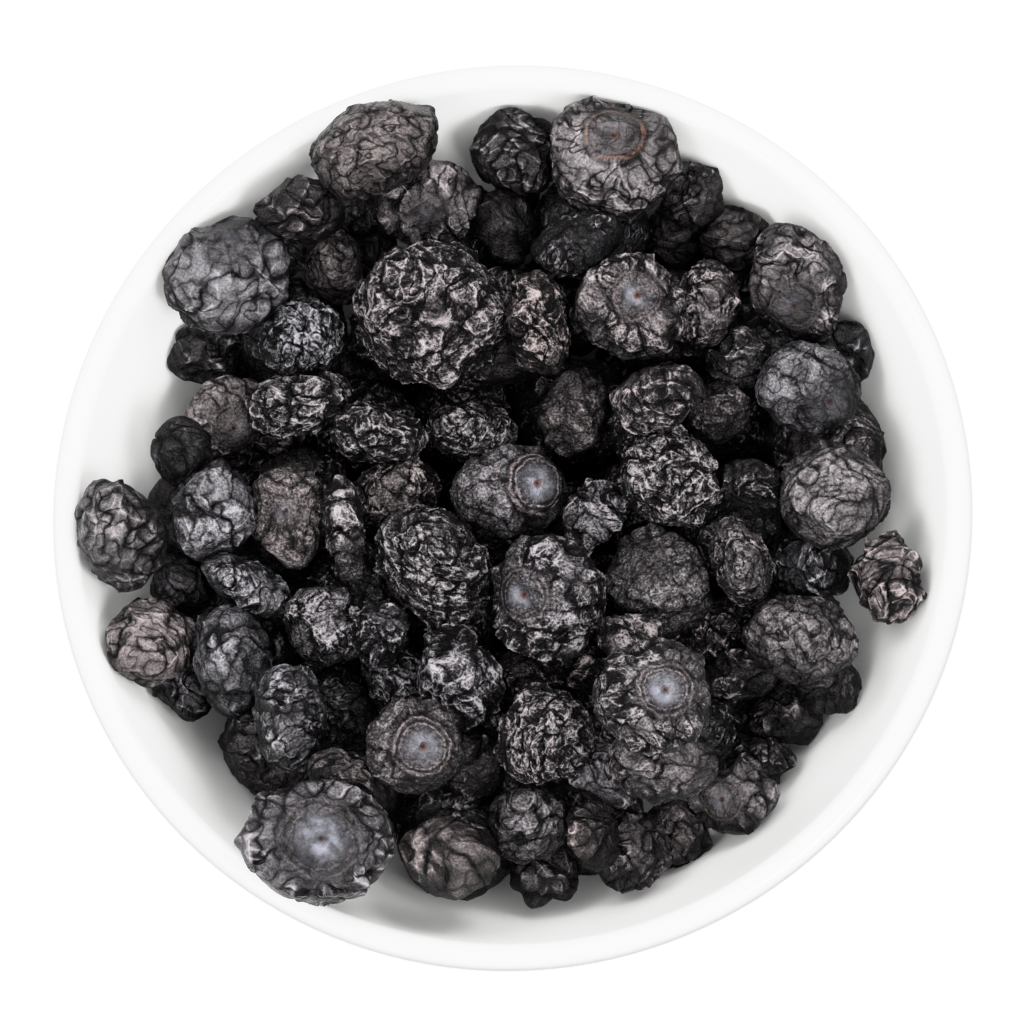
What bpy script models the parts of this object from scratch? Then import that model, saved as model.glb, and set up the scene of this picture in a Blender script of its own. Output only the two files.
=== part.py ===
"""A small white porcelain bowl heaped with dried blueberries.

Blender 4.5 script. The scene is in metres with +Z up, and the origin is the centre of the bowl's foot, on the table.
Sizes below are in millimetres. The berries that lie on the heap are placed one by one, those under them by a rule,
and all of them are then let down until they rest on each other and on the bowl.
"""

import math

import bmesh
import bpy
import numpy as np

METRES = 0.001

# The bowl, turned: a rounded wall that flares to the rim, on a low foot ring.
RIM_RADIUS = 40.0
BOWL_HEIGHT = 34.0
LIP_RADIUS = 1.25
WALL = 2.5
FLOOR_HEIGHT = 5.8
FLARE = 2.5
FOOT_RADIUS = 15.4
FOOT_WIDTH = 2.4
FOOT_RECESS = 2.4
FOOT_EDGE = 0.5
BOWL_SIDES = 48
INSIDE_STEPS = 8
OUTSIDE_STEPS = 5
LIP_STEPS = 4

# Where the heap is looked at from: the eye leans this far from straight above, towards this compass direction.
LEAN = math.radians(11.4)
LEAN_TOWARDS = math.radians(-70.4)

# The heap's shape: how high the middles of its topmost berries lie above the rim, at the centre and by the wall.
HEAP_CROWN = 3.5
HEAP_FALL = 7.5
HEAP_REACH = 36.0
HEAP_ROUNDING = 3

# How thin and how deep a berry is along the eye, against its long width.
THINNEST = 0.66
DEEPEST = 0.9

# How berries lie against each other: the gap at a contact and at the bowl, and how far each is pressed flat there.
GAP = 0.32
WALL_GAP = 0.45
PRESSED = 0.95

# Letting the heap down: rounds, the fall in each, the share of rounds that fall, and how firmly a push is followed.
SETTLING_ROUNDS = 260
FALL = 0.05
FALLING_SHARE = 0.8
PUSH_SHARE = 0.8
HOLD_IN_VIEW = 0.15
ROUNDS_BETWEEN_SEARCHES = 20
SEARCH_MARGIN = 2.0
WALL_PROBES = 60

# Berries that lie on the heap, as seen from the eye, each with its middle from the bowl's axis, its long and short
# width, the turn of the long one in degrees, how far it lies under the heap's crown surface, and where the middle
# of its calyx shows, from the berry's own middle. A calyx that doesn't show is None.
TOP_BERRIES = [
    (-6.7, 17.3, 13.6, 12.6, -20, -1.0, (0.7, 0.2)),
    (-24.6, 20.9, 11.2, 10.2, -10, 0.0, (0.2, 3.2)),
    (-11.8, 31.6, 11.8, 8.2, 28, 0.0, None),
    (-16.2, 21.6, 7.2, 5.4, 100, 2.0, None),
    (-18.0, 15.0, 7.6, 6.4, 10, 0.0, None),
    (-6.8, 27.1, 9.3, 7.2, 0, 0.5, (-0.3, -0.7)),
    (2.0, 16.6, 9.6, 5.2, 100, 1.5, None),
    (8.6, 30.4, 11.6, 10.6, -15, 0.0, (0.4, 2.8)),
    (10.2, 18.8, 10.0, 9.0, -20, 0.0, (0.6, 1.0)),
    (24.6, 20.0, 10.6, 8.0, -72, 1.0, (-0.3, -2.4)),
    (16.8, 17.8, 8.6, 5.6, 75, 1.5, None),
    (-34.0, -1.6, 10.2, 7.4, -75, -1.5, None),
    (-25.7, 0.2, 8.4, 7.2, 60, 0.8, None),
    (-25.0, 8.4, 7.8, 7.0, 70, 3.0, (0.8, -0.6)),
    (-18.0, 9.6, 9.8, 5.6, 12, 1.0, None),
    (-19.2, 0.0, 9.4, 6.4, 100, 0.3, None),
    (-14.8, -1.2, 9.8, 3.8, 97, -0.6, None),
    (-10.5, 1.8, 8.0, 6.5, 30, 0.6, None),
    (-23.0, -6.6, 9.0, 4.0, -30, 1.8, None),
    (-31.4, -11.1, 8.0, 7.4, 0, -0.5, None),
    (-24.4, -12.4, 10.8, 6.4, 98, 0.3, (0.6, -3.4)),
    (-16.0, -9.8, 7.4, 6.8, -20, 1.0, None),
    (-12.0, 7.2, 8.6, 5.0, -8, 0.8, None),
    (0.0, 2.0, 10.6, 8.0, 8, -0.5, (2.6, 0.8)),
    (-3.3, 7.2, 8.0, 5.0, -10, 2.5, None),
    (5.8, 9.2, 8.5, 6.0, 80, 3.0, (-1.0, 2.4)),
    (-6.7, -5.0, 11.6, 8.8, -55, -0.5, None),
    (3.0, -7.2, 11.4, 10.0, -75, -0.5, (-2.3, 0.2)),
    (7.3, 0.0, 6.2, 5.4, 60, 1.8, None),
    (14.0, 3.4, 9.6, 8.2, -60, -0.3, None),
    (13.0, 9.7, 8.6, 5.4, 15, 2.0, None),
    (12.8, -6.2, 10.0, 8.8, -50, 2.0, (-1.6, 2.0)),
    (10.5, -10.4, 6.4, 4.4, -5, 1.8, None),
    (25.8, 10.8, 9.6, 8.0, -15, 1.0, (2.2, -1.4)),
    (27.7, 1.7, 9.8, 9.0, -15, 1.0, None),
    (19.8, -4.1, 8.2, 4.6, -72, 0.8, None),
    (25.3, -10.9, 10.2, 7.6, -8, 0.0, None),
    (32.8, -5.6, 8.2, 5.8, -80, 1.5, None),
    (-19.4, -17.2, 9.8, 6.0, 95, 1.8, None),
    (-16.7, -27.8, 13.4, 10.8, -5, -0.5, (0.7, 0.5)),
    (-9.6, -14.4, 8.0, 5.4, -50, 1.0, None),
    (-5.0, -14.4, 9.4, 7.0, 105, 0.0, None),
    (-8.6, -20.0, 8.8, 8.2, 0, 1.0, (1.0, -0.2)),
    (-5.0, -29.6, 9.2, 6.4, -18, 2.5, None),
    (1.4, -26.8, 6.8, 6.2, 0, 2.5, None),
    (2.9, -19.5, 8.8, 8.2, -10, 0.0, None),
    (8.6, -22.8, 8.2, 5.4, -10, 2.5, None),
    (12.2, -16.0, 10.2, 9.8, 0, -0.8, (1.2, 0.9)),
    (12.8, -21.5, 9.6, 6.6, 0, 1.5, None),
    (19.2, -24.7, 8.0, 5.8, 8, 2.5, (-1.2, 0.2)),
]

# Berries that show in the gaps between those, lower down: middle, widths, turn and depth as above.
GAP_BERRIES = [
    (-18.3, 26.4, 8.0, 6.0, 0, 5.0),
    (-26.3, 13.3, 6.2, 5.6, 0, 5.0),
    (-20.5, 23.6, 6.2, 5.8, 0, 6.0),
    (-12.6, 23.2, 6.4, 5.0, 90, 5.0),
    (-0.6, 25.0, 7.0, 5.6, 110, 4.0),
    (0.3, 30.8, 8.0, 7.0, 0, 4.5),
    (6.0, 23.2, 8.5, 5.4, 30, 4.0),
    (15.7, 27.8, 6.0, 5.4, 90, 4.0),
    (19.6, 24.0, 6.6, 6.0, 0, 5.0),
    (19.7, 13.0, 5.6, 5.2, 0, 5.0),
    (-28.4, 5.2, 6.8, 4.8, 90, 5.5),
    (-28.8, -6.0, 5.4, 5.2, 0, 5.0),
    (10.8, 1.2, 5.8, 4.8, -50, 4.0),
    (-11.2, -10.2, 5.8, 5.0, 90, 3.0),
    (28.8, 13.8, 5.8, 5.4, 0, 4.0),
    (17.8, 8.9, 5.6, 5.2, 0, 4.5),
    (25.6, -4.6, 8.0, 6.0, 0, 3.0),
    (20.6, 2.2, 6.0, 5.4, 0, 5.5),
    (-22.0, -19.8, 5.6, 5.2, 0, 4.5),
    (-27.6, -14.8, 5.6, 5.2, 0, 5.0),
    (-13.5, -23.0, 8.0, 5.4, -20, 4.0),
    (-15.0, -17.5, 6.6, 5.8, 90, 6.0),
    (-3.6, -21.7, 6.0, 5.4, 0, 5.0),
    (2.8, -30.8, 6.2, 5.2, 0, 4.0),
    (6.5, -12.8, 5.2, 4.6, 0, 4.0),
    (1.6, -14.0, 6.6, 5.2, 0, 4.5),
    (10.4, -29.2, 7.0, 6.4, 60, 3.0),
    (6.9, -27.9, 5.6, 4.8, 90, 4.5),
    (14.3, -28.4, 6.2, 5.4, -60, 4.5),
    (17.2, -19.2, 6.6, 5.2, 90, 3.5),
    (20.3, -13.8, 7.2, 4.8, 5, 3.0),
    (23.4, -17.4, 6.6, 5.8, 0, 4.0),
    (21.4, -21.2, 6.2, 4.8, 0, 4.0),
    (27.3, -14.8, 5.6, 5.2, 0, 4.0),
    (18.2, -10.6, 5.6, 5.0, 0, 5.0),
]

# The berries underneath, which fill the bowl: a jittered lattice of layers, thinned to what fits.
FILL_SEED = 11
FILL_SPACING = 10.2
FILL_LAYER_STEP = 0.78
FILL_LAYERS = 6
FILL_ROWS = 6
FILL_FIRST_LAYER = 3.6
FILL_JITTER = 0.8
FILL_WALL_MARGIN = 2.6
FILL_UNDER = 5.0
FILL_LONG = (10.6, 12.6)
FILL_SHORT = (0.8, 0.98)
FILL_THIRD = 0.72
FILL_TIP = 0.5

# Berries that are fused into groups: how many groups, how wide a gap a link may close, and how deep it overlaps.
FUSED_GROUPS = 9
LINK_REACH = 1.1
LINK_OVERLAP = 0.5
LINK_SPREAD = 0.72
LINK_CARE = 40.0

# Sides and rings of a berry's mesh: one on top, one in a gap, and one underneath.
TOP_SIZE = (11, 8)
GAP_SIZE = (7, 6)
FILL_SIZE = (6, 4)

# A berry's skin: shrunken hollows between ridges, and at one end the calyx, a sunk disc in a raised ring.
HOLLOWS = 11
HOLLOW_BLUR = 0.10
TOP_SKIN = {"swell": 1.15, "hollow_depth": 0.14}
FUSED_SKIN = {"swell": 1.16, "hollow_depth": 0.06}
CALYX_RADIUS = 0.22
CALYX_SUNK = 0.9
CALYX_RING = 0.35
CALYX_RING_WIDTH = 0.35
CALYX_HIDDEN = 1.3

BERRY_COLOUR = (0.016, 0.015, 0.020, 1.0)
BERRY_ROUGHNESS = 0.42
PORCELAIN_COLOUR = (0.86, 0.86, 0.85, 1.0)
PORCELAIN_ROUGHNESS = 0.12

INNER_RIM = RIM_RADIUS - 2 * LIP_RADIUS
CAVITY_DEPTH = BOWL_HEIGHT - LIP_RADIUS - FLOOR_HEIGHT
RIM_CENTRE = np.array([0.0, 0.0, BOWL_HEIGHT])


def unit(vectors):
    """The same directions, one unit long."""
    return vectors / np.linalg.norm(vectors, axis=-1, keepdims=True)


def cavity_height(radius):
    """Height of the bowl's inside surface at a radius."""
    return FLOOR_HEIGHT + CAVITY_DEPTH * (np.asarray(radius) / INNER_RIM) ** FLARE


def cavity_slope(radius):
    """How steeply the bowl's inside surface climbs at a radius."""
    return CAVITY_DEPTH * FLARE / INNER_RIM * (np.asarray(radius) / INNER_RIM) ** (FLARE - 1)


def sight_axes():
    """Right, up and towards the eye, for the eye that leans from straight above without rolling."""
    overhead = np.array([0.0, 0.0, 1.0])
    towards = np.array([math.cos(LEAN_TOWARDS), math.sin(LEAN_TOWARDS), 0.0])
    beside = np.array([-towards[1], towards[0], 0.0])
    eye = towards * math.sin(LEAN) + overhead * math.cos(LEAN)
    tipped = towards * math.cos(LEAN) - overhead * math.sin(LEAN)
    right = beside * beside[0] + tipped * towards[0]
    up = beside * beside[1] + tipped * towards[1]
    return right, up, eye


def on_sight_line(seen, height):
    """The points at a height over the rim that show at the places seen, counted from the rim's centre."""
    right, up, eye = sight_axes()
    point = seen[:, :1] * right + seen[:, 1:2] * up
    return RIM_CENTRE + point + ((height - point[:, 2]) / eye[2])[:, None] * eye


def crown_surface(radius):
    """Height, over the rim, of the middles of berries that lie on the heap."""
    return HEAP_CROWN - HEAP_FALL * (radius / HEAP_REACH) ** HEAP_ROUNDING


def third_width(long, short, flat_side_up):
    """A dried blueberry is a flattened ball: seen round it is thin along the eye, and seen slim it is deep."""
    deep = np.clip(THINNEST * long**2 / short, THINNEST * long, DEEPEST * long)
    return np.where(flat_side_up, THINNEST * long, deep)


def turned_about_eye(degrees):
    """Rows are a berry's long, short and third axis, when the long one is turned this far from the right."""
    right, up, eye = sight_axes()
    turn = math.radians(degrees)
    long_axis = right * math.cos(turn) + up * math.sin(turn)
    return np.array([long_axis, np.cross(eye, long_axis), eye])


def lying_any_way(draw):
    """Axes of a berry that settled roughly flat: any way round, and tipped a little to any side."""
    spin = draw.uniform(0, 2 * math.pi)
    tip = draw.uniform(0, FILL_TIP)
    lean = draw.uniform(0, 2 * math.pi)
    third = np.array([math.sin(tip) * math.cos(lean), math.sin(tip) * math.sin(lean), math.cos(tip)])
    flat = np.array([math.cos(spin), math.sin(spin), 0.0])
    long_axis = unit(flat - third * (flat @ third))
    return np.array([long_axis, np.cross(third, long_axis), third])


def placed_berries():
    """The berries of both lists as arrays: where each shows, its middle, half widths and axes."""
    rows = TOP_BERRIES + GAP_BERRIES
    seen = np.array([row[:2] for row in rows])
    widths = np.array([row[2:4] for row in rows])
    under = np.array([row[5] for row in rows])
    middle = on_sight_line(seen, crown_surface(np.linalg.norm(seen, axis=1)) - under)
    flat_side_up = np.array([len(row) > 6 and row[6] is not None for row in rows])
    half = np.column_stack([widths, third_width(widths[:, 0], widths[:, 1], flat_side_up)]) / 2
    axes = np.array([turned_about_eye(row[4]) for row in rows])
    return seen, middle, half, axes


def filling_berries():
    """Berries under the ones that show, on a jittered hexagonal lattice that fills the bowl."""
    draw = np.random.default_rng(FILL_SEED)
    middles, halves, axes = [], [], []
    places = range(-FILL_ROWS, FILL_ROWS + 1)
    row_step = FILL_SPACING * math.sqrt(3) / 2
    for layer in range(FILL_LAYERS):
        shift = layer % 2
        z = FLOOR_HEIGHT + FILL_FIRST_LAYER + layer * FILL_LAYER_STEP * FILL_SPACING
        for row in places:
            for column in places:
                x = (column + (row % 2) / 2 + shift / 3) * FILL_SPACING
                y = (row + shift * 0.4) * row_step
                point = np.array([x, y, z]) + draw.uniform(-FILL_JITTER, FILL_JITTER, 3)
                long = draw.uniform(*FILL_LONG)
                half = np.array([long, long * draw.uniform(*FILL_SHORT), long * FILL_THIRD]) / 2
                turned = lying_any_way(draw)
                radius = math.hypot(point[0], point[1])
                roof = BOWL_HEIGHT + crown_surface(radius) - FILL_UNDER
                if cavity_height(radius + FILL_WALL_MARGIN) < point[2] < roof:
                    middles.append(point)
                    halves.append(half)
                    axes.append(turned)
    return np.array(middles), np.array(halves), np.array(axes)


def spreads(half, axes):
    """For each berry the matrix whose quadratic form, rooted, is how far it reaches along a direction."""
    return np.einsum("nki,nk,nkj->nij", axes, half**2, axes)


def reach(spread, direction):
    """How far each berry reaches from its middle along its direction."""
    return np.sqrt(np.einsum("ni,nij,nj->n", direction, spread, direction))


def contacts(middle, spread, pairs):
    """For each pair, the direction across their contact and the gap along it. A negative gap is an overlap."""
    first, second = pairs.T
    between = middle[second] - middle[first]
    across = unit(between)
    for _ in range(4):
        share = reach(spread[first], across)
        share = (share / (share + reach(spread[second], across)))[:, None, None]
        mixed = (1 - share) * spread[first] + share * spread[second]
        across = unit(np.linalg.solve(mixed, between[:, :, None])[:, :, 0])
    reached = reach(spread[first], across) + reach(spread[second], across)
    return across, np.einsum("ni,ni->n", between, across) - reached


def near_pairs(middle, half):
    """Index pairs of berries that may touch."""
    largest = half.max(axis=1)
    distance = np.linalg.norm(middle[:, None] - middle[None], axis=2)
    close = distance < largest[:, None] + largest[None] + SEARCH_MARGIN
    return np.argwhere(np.triu(close, 1))


def even_directions(count):
    """Evenly spread unit directions, on a spiral from pole to pole."""
    index = np.arange(count) + 0.5
    z = 1 - 2 * index / count
    turn = index * math.pi * (3 - math.sqrt(5))
    flat = np.sqrt(1 - z * z)
    return np.column_stack([flat * np.cos(turn), flat * np.sin(turn), z])


def wall_push(middle, half, axes, probes):
    """How far to move each berry so that it clears the bowl's inside surface."""
    surface = middle[:, None] + np.einsum("pk,nk,nki->npi", probes, half, axes)
    radius = np.maximum(np.hypot(surface[..., 0], surface[..., 1]), 1e-6)
    slope = cavity_slope(radius)
    sunk = (cavity_height(radius) - surface[..., 2]) / np.hypot(1, slope)
    each, deepest = np.arange(len(middle)), sunk.argmax(axis=1)
    outward = surface[each, deepest, :2] / radius[each, deepest][:, None]
    inward = np.column_stack([-outward * slope[each, deepest][:, None], np.ones(len(middle))])
    return unit(inward) * np.maximum(sunk[each, deepest], 0.0)[:, None]


def settled(seen, middle, half, axes):
    """Lets the berries down until they rest on each other and on the bowl, each that shows kept where it shows."""
    middle = middle.copy()
    shown = len(seen)
    half = half * PRESSED
    spread = spreads(half, axes)
    probes = even_directions(WALL_PROBES)
    for turn in range(SETTLING_ROUNDS):
        if turn % ROUNDS_BETWEEN_SEARCHES == 0:
            pairs = near_pairs(middle, half)
        if turn <= SETTLING_ROUNDS * FALLING_SHARE:
            middle[:, 2] -= FALL
        wanted = on_sight_line(seen, middle[:shown, 2] - BOWL_HEIGHT)
        middle[:shown, :2] += HOLD_IN_VIEW * (wanted - middle[:shown])[:, :2]
        across, gap = contacts(middle, spread, pairs)
        push = across * np.minimum(gap, 0.0)[:, None]
        moved = np.zeros_like(middle)
        touched = np.zeros(len(middle))
        for column, away in ((0, 1.0), (1, -1.0)):
            np.add.at(moved, pairs[:, column], away * push)
            np.add.at(touched, pairs[:, column], gap < 0.0)
        middle += PUSH_SHARE * moved / np.maximum(touched, 1.0)[:, None]
        middle += wall_push(middle, half, axes, probes)
    return middle


def calyx_axes(axes, half, draw):
    """Where each berry's calyx points: as seen, or else away from the eye."""
    right, up, eye = sight_axes()
    result = []
    for index in range(len(axes)):
        seen = TOP_BERRIES[index][6] if index < len(TOP_BERRIES) else None
        if seen is None:
            axis = unit(draw.normal(size=3)) - CALYX_HIDDEN * eye
        else:
            beside = axes[index][:2] @ (seen[0] * right + seen[1] * up) / half[index][:2]
            rise = math.sqrt(max(1 - beside @ beside, 0.1))
            axis = (np.append(beside, rise) / half[index]) @ axes[index]
        result.append(unit(axis))
    return np.array(result)


def calyx_angle(half):
    """How wide the calyx ring stands round its axis, as an angle at the berry's middle."""
    return math.atan(CALYX_RADIUS * 2 * half[0] / half[1])


def skin_radius(directions, half, axes, calyx, swell, hollow_depth, draw):
    """How far the skin lies from the berry's middle along each direction."""
    ball = swell / np.linalg.norm(directions @ axes.T / half, axis=1)
    centres = unit(draw.normal(size=(HOLLOWS, 3)))
    nearest = np.sort(directions @ centres.T, axis=1)
    ridge = np.exp((nearest[:, -2] - nearest[:, -1]) / HOLLOW_BLUR)
    skin = ball * (1 - hollow_depth * (1 - ridge))
    angle = np.arccos(np.clip(directions @ calyx, -1, 1)) / calyx_angle(half)
    ring = CALYX_RING * np.exp(-(((angle - 1) / CALYX_RING_WIDTH) ** 2))
    return skin + ring - CALYX_SUNK * np.clip(1 - angle, 0, 1)


def bulged_to(radius, directions, linking):
    """Bulges the skin out to each plane that lies past a contact, so that two berries that are fused do overlap."""
    for across, distance in linking:
        towards = np.maximum(directions @ across, 0.1)
        radius = np.where(towards > LINK_SPREAD, np.maximum(radius, distance / towards), radius)
    return radius


def held_off(radius, directions, parting):
    """Holds the skin back behind each plane, given as a direction and a distance from the berry's middle."""
    for across, distance in parting:
        towards = directions @ across
        limit = np.where(towards > 1e-3, distance / np.maximum(towards, 1e-3), np.inf)
        radius = np.minimum(radius, limit)
    return radius


def kept_in_bowl(radius, directions, middle):
    """Holds the skin back from the bowl's inside surface, by halving along each direction.

    The cavity is convex, so a face whose corners lie inside it lies inside it too.
    """
    low, high = np.zeros_like(radius), radius.copy()
    for _ in range(24):
        trial = (low + high) / 2
        point = middle + directions * trial[:, None]
        out = np.hypot(point[:, 0], point[:, 1])
        clear = point[:, 2] - cavity_height(out) > WALL_GAP * np.hypot(1, cavity_slope(out))
        low, high = np.where(clear, trial, low), np.where(clear, high, trial)
    return low


def ball_mesh(name, size, pole, ring_angle):
    """A closed ball of unit directions, with its pole along a direction and its first ring at an angle from it."""
    sides, rings = size
    ball = bmesh.new()
    bmesh.ops.create_uvsphere(ball, u_segments=sides, v_segments=rings, radius=1.0)
    across = unit(np.cross(pole, (0.31, 0.87, 0.38)))
    frame = np.array([across, np.cross(pole, across), pole])
    first = math.pi / rings
    for vertex in ball.verts:
        polar = math.acos(max(-1.0, min(1.0, vertex.co.z)))
        if polar > first / 2:
            polar = ring_angle + (polar - first) * (math.pi - ring_angle) / (math.pi - first)
        turn = math.atan2(vertex.co.y, vertex.co.x)
        flat = math.sin(polar)
        vertex.co = np.array([flat * math.cos(turn), flat * math.sin(turn), math.cos(polar)]) @ frame
    bmesh.ops.triangulate(ball, faces=ball.faces)
    mesh = bpy.data.meshes.new(name)
    ball.to_mesh(mesh)
    ball.free()
    return mesh


def reached_from(start, touching):
    """All the berries that a chain of touching ones joins to the first."""
    reached = {start}
    edge = [start]
    while edge:
        for index in touching[edge.pop()]:
            if index not in reached:
                reached.add(index)
                edge.append(index)
    return reached


def group_seeds(members, middle, touching):
    """A first berry for each group: one in each cluster that touches no other, the rest as far apart as they go."""
    seeds = []
    covered = set()
    for index in members:
        if index not in covered:
            covered |= reached_from(index, touching)
            seeds.append(index)
    while len(seeds) < FUSED_GROUPS:
        apart = [min(np.linalg.norm(middle[index] - middle[seed]) for seed in seeds) for index in members]
        seeds.append(members[int(np.argmax(apart))])
    return seeds


def grown_groups(first, pairs, middle, gap):
    """Shares the berries from index first on among groups, and says which berry holds each of them in its group."""
    members = range(first, len(middle))
    touching = {index: {} for index in members}
    for (one, other), between in zip(pairs, gap):
        if between < LINK_REACH and one >= first and other >= first:
            touching[one][other] = between
            touching[other][one] = between
    groups = [[seed] for seed in group_seeds(members, middle, touching)]
    taken = {group[0] for group in groups}
    holder_of = {}
    while len(taken) < len(members):
        for group in sorted(groups, key=len):
            edge = set().union(*(touching[index] for index in group)) - taken
            if edge:
                centre = middle[group].mean(axis=0)
                held = {
                    index: min((touching[index][holder], holder) for holder in group if holder in touching[index])
                    for index in sorted(edge)
                }
                cost = {
                    index: LINK_CARE * max(between, 0) + np.linalg.norm(middle[index] - centre)
                    for index, (between, _) in held.items()
                }
                chosen = min(cost, key=cost.get)
                holder_of[chosen] = held[chosen][1]
                group.append(chosen)
                taken.add(chosen)
                break
    return groups, holder_of


def contact_planes(pairs, across, gap, spread, holder_of):
    """For each berry the planes that part it from its neighbours, midway between the two, and those that link it."""
    parting = [[] for _ in spread]
    linking = [[] for _ in spread]
    first_reach = reach(spread[pairs[:, 0]], across)
    second_reach = reach(spread[pairs[:, 1]], across)
    for index, (one, other) in enumerate(pairs):
        linked = holder_of.get(one) == other or holder_of.get(other) == one
        kind = linking if linked else parting
        room = gap[index] / 2 + (LINK_OVERLAP if linked else -GAP / 2)
        kind[one].append((across[index], first_reach[index] + room))
        kind[other].append((-across[index], second_reach[index] + room))
    return parting, linking


class Heap:
    """All the berries, settled: places, shapes, and the planes at which each meets its neighbours."""

    def __init__(self):
        seen, middle, half, axes = placed_berries()
        below_middle, below_half, below_axes = filling_berries()
        self.single = len(TOP_BERRIES)
        self.shown = len(seen)
        self.half = np.vstack([half, below_half])
        self.axes = np.concatenate([axes, below_axes])
        self.middle = settled(seen, np.vstack([middle, below_middle]), self.half, self.axes)
        self.draw = np.random.default_rng(FILL_SEED)
        self.calyx = calyx_axes(self.axes, self.half, self.draw)
        pairs = near_pairs(self.middle, self.half)
        spread = spreads(self.half * PRESSED, self.axes)
        across, gap = contacts(self.middle, spread, pairs)
        self.groups, holder_of = grown_groups(self.single, pairs, self.middle, gap)
        self.parting, self.linking = contact_planes(pairs, across, gap, spread, holder_of)
        # A fused berry's calyx is turned, out of sight, to the berry that holds it.
        for index, holder in holder_of.items():
            self.calyx[index] = unit(self.middle[holder] - self.middle[index])

    def berry(self, index, name, size, skin):
        """One berry as an object, its skin held back behind its planes and kept in the bowl."""
        middle, half, calyx = self.middle[index], self.half[index], self.calyx[index]
        mesh = ball_mesh(name, size, calyx, calyx_angle(half))
        directions = np.array([vertex.co for vertex in mesh.vertices], dtype=float)
        radius = skin_radius(directions, half, self.axes[index], calyx, draw=self.draw, **skin)
        radius = bulged_to(radius, directions, self.linking[index])
        radius = held_off(radius, directions, self.parting[index])
        radius = kept_in_bowl(radius, directions, middle)
        mesh.vertices.foreach_set("co", ((middle + directions * radius[:, None]) * METRES).ravel())
        return bpy.data.objects.new(name, mesh)


def fused(name, members, collection):
    """One solid of several berries that overlap, by a Boolean union on a collection."""
    joined = bpy.data.collections.new(name + "_members")
    bpy.context.scene.collection.children.link(joined)
    for member in members[1:]:
        joined.objects.link(member)
    collection.objects.link(members[0])
    union = members[0].modifiers.new("union", "BOOLEAN")
    union.operation = "UNION"
    union.operand_type = "COLLECTION"
    union.collection = joined
    evaluated = members[0].evaluated_get(bpy.context.evaluated_depsgraph_get())
    mesh = bpy.data.meshes.new_from_object(evaluated)
    for member in members:
        bpy.data.objects.remove(member)
    bpy.data.collections.remove(joined)
    mesh.name = name
    fill_sealed_pockets(mesh)
    return bpy.data.objects.new(name, mesh)


def fill_sealed_pockets(mesh):
    """Leaves only the outer shell of a solid: small pockets between berries, sealed by the fusing, are filled."""
    body = bmesh.new()
    body.from_mesh(mesh)
    unseen = set(body.verts)
    shells = []
    while unseen:
        edge = [unseen.pop()]
        shell = list(edge)
        while edge:
            for link in edge[-1].link_edges:
                other = link.other_vert(edge[-1])
                if other in unseen:
                    unseen.remove(other)
                    shell.append(other)
                    edge.append(other)
                    break
            else:
                edge.pop()
        shells.append(shell)
    shells.sort(key=len)
    for pocket in shells[:-1]:
        bmesh.ops.delete(body, geom=pocket, context="VERTS")
    bmesh.ops.triangulate(body, faces=body.faces)
    body.to_mesh(mesh)
    body.free()


def bowl_profile():
    """The bowl's outline from the middle of its floor, up the inside, over the lip, down the outside and the foot."""
    points = [(radius, float(cavity_height(radius))) for radius in np.linspace(0, INNER_RIM, INSIDE_STEPS + 1)]
    for step in range(1, LIP_STEPS + 1):
        turn = math.pi * (1 - step / LIP_STEPS)
        out = RIM_RADIUS - LIP_RADIUS + LIP_RADIUS * math.cos(turn)
        points.append((out, BOWL_HEIGHT - LIP_RADIUS + LIP_RADIUS * math.sin(turn)))
    for step in range(1, OUTSIDE_STEPS + 1):
        radius = INNER_RIM + (FOOT_RADIUS - INNER_RIM) * step / OUTSIDE_STEPS
        slope = float(cavity_slope(radius))
        steep = math.hypot(1, slope)
        points.append((radius + WALL * slope / steep, float(cavity_height(radius)) - WALL / steep))
    foot_inside = FOOT_RADIUS - FOOT_WIDTH
    points += [
        (FOOT_RADIUS, FOOT_EDGE),
        (FOOT_RADIUS - FOOT_EDGE, 0.0),
        (foot_inside, 0.0),
        (foot_inside - FOOT_EDGE, FOOT_RECESS),
        (0.0, FOOT_RECESS),
    ]
    return points


def bowl_object():
    """The bowl, its outline turned round the axis."""
    profile = bmesh.new()
    corners = [profile.verts.new((radius * METRES, 0, height * METRES)) for radius, height in bowl_profile()]
    for one, other in zip(corners, corners[1:]):
        profile.edges.new((one, other))
    mesh = bpy.data.meshes.new("bowl")
    profile.to_mesh(mesh)
    profile.free()
    bowl = bpy.data.objects.new("bowl", mesh)
    screw = bowl.modifiers.new("turned", "SCREW")
    screw.axis = "Z"
    screw.steps = BOWL_SIDES
    screw.render_steps = BOWL_SIDES
    screw.use_merge_vertices = True
    screw.merge_threshold = 0.00001
    screw.use_smooth_shade = True
    return bowl


def material(name, colour, roughness):
    """A plain finish of one colour."""
    finish = bpy.data.materials.new(name)
    finish.use_nodes = True
    shader = finish.node_tree.nodes["Principled BSDF"]
    shader.inputs["Base Color"].default_value = colour
    shader.inputs["Roughness"].default_value = roughness
    shader.inputs["Metallic"].default_value = 0.0
    return finish


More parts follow.
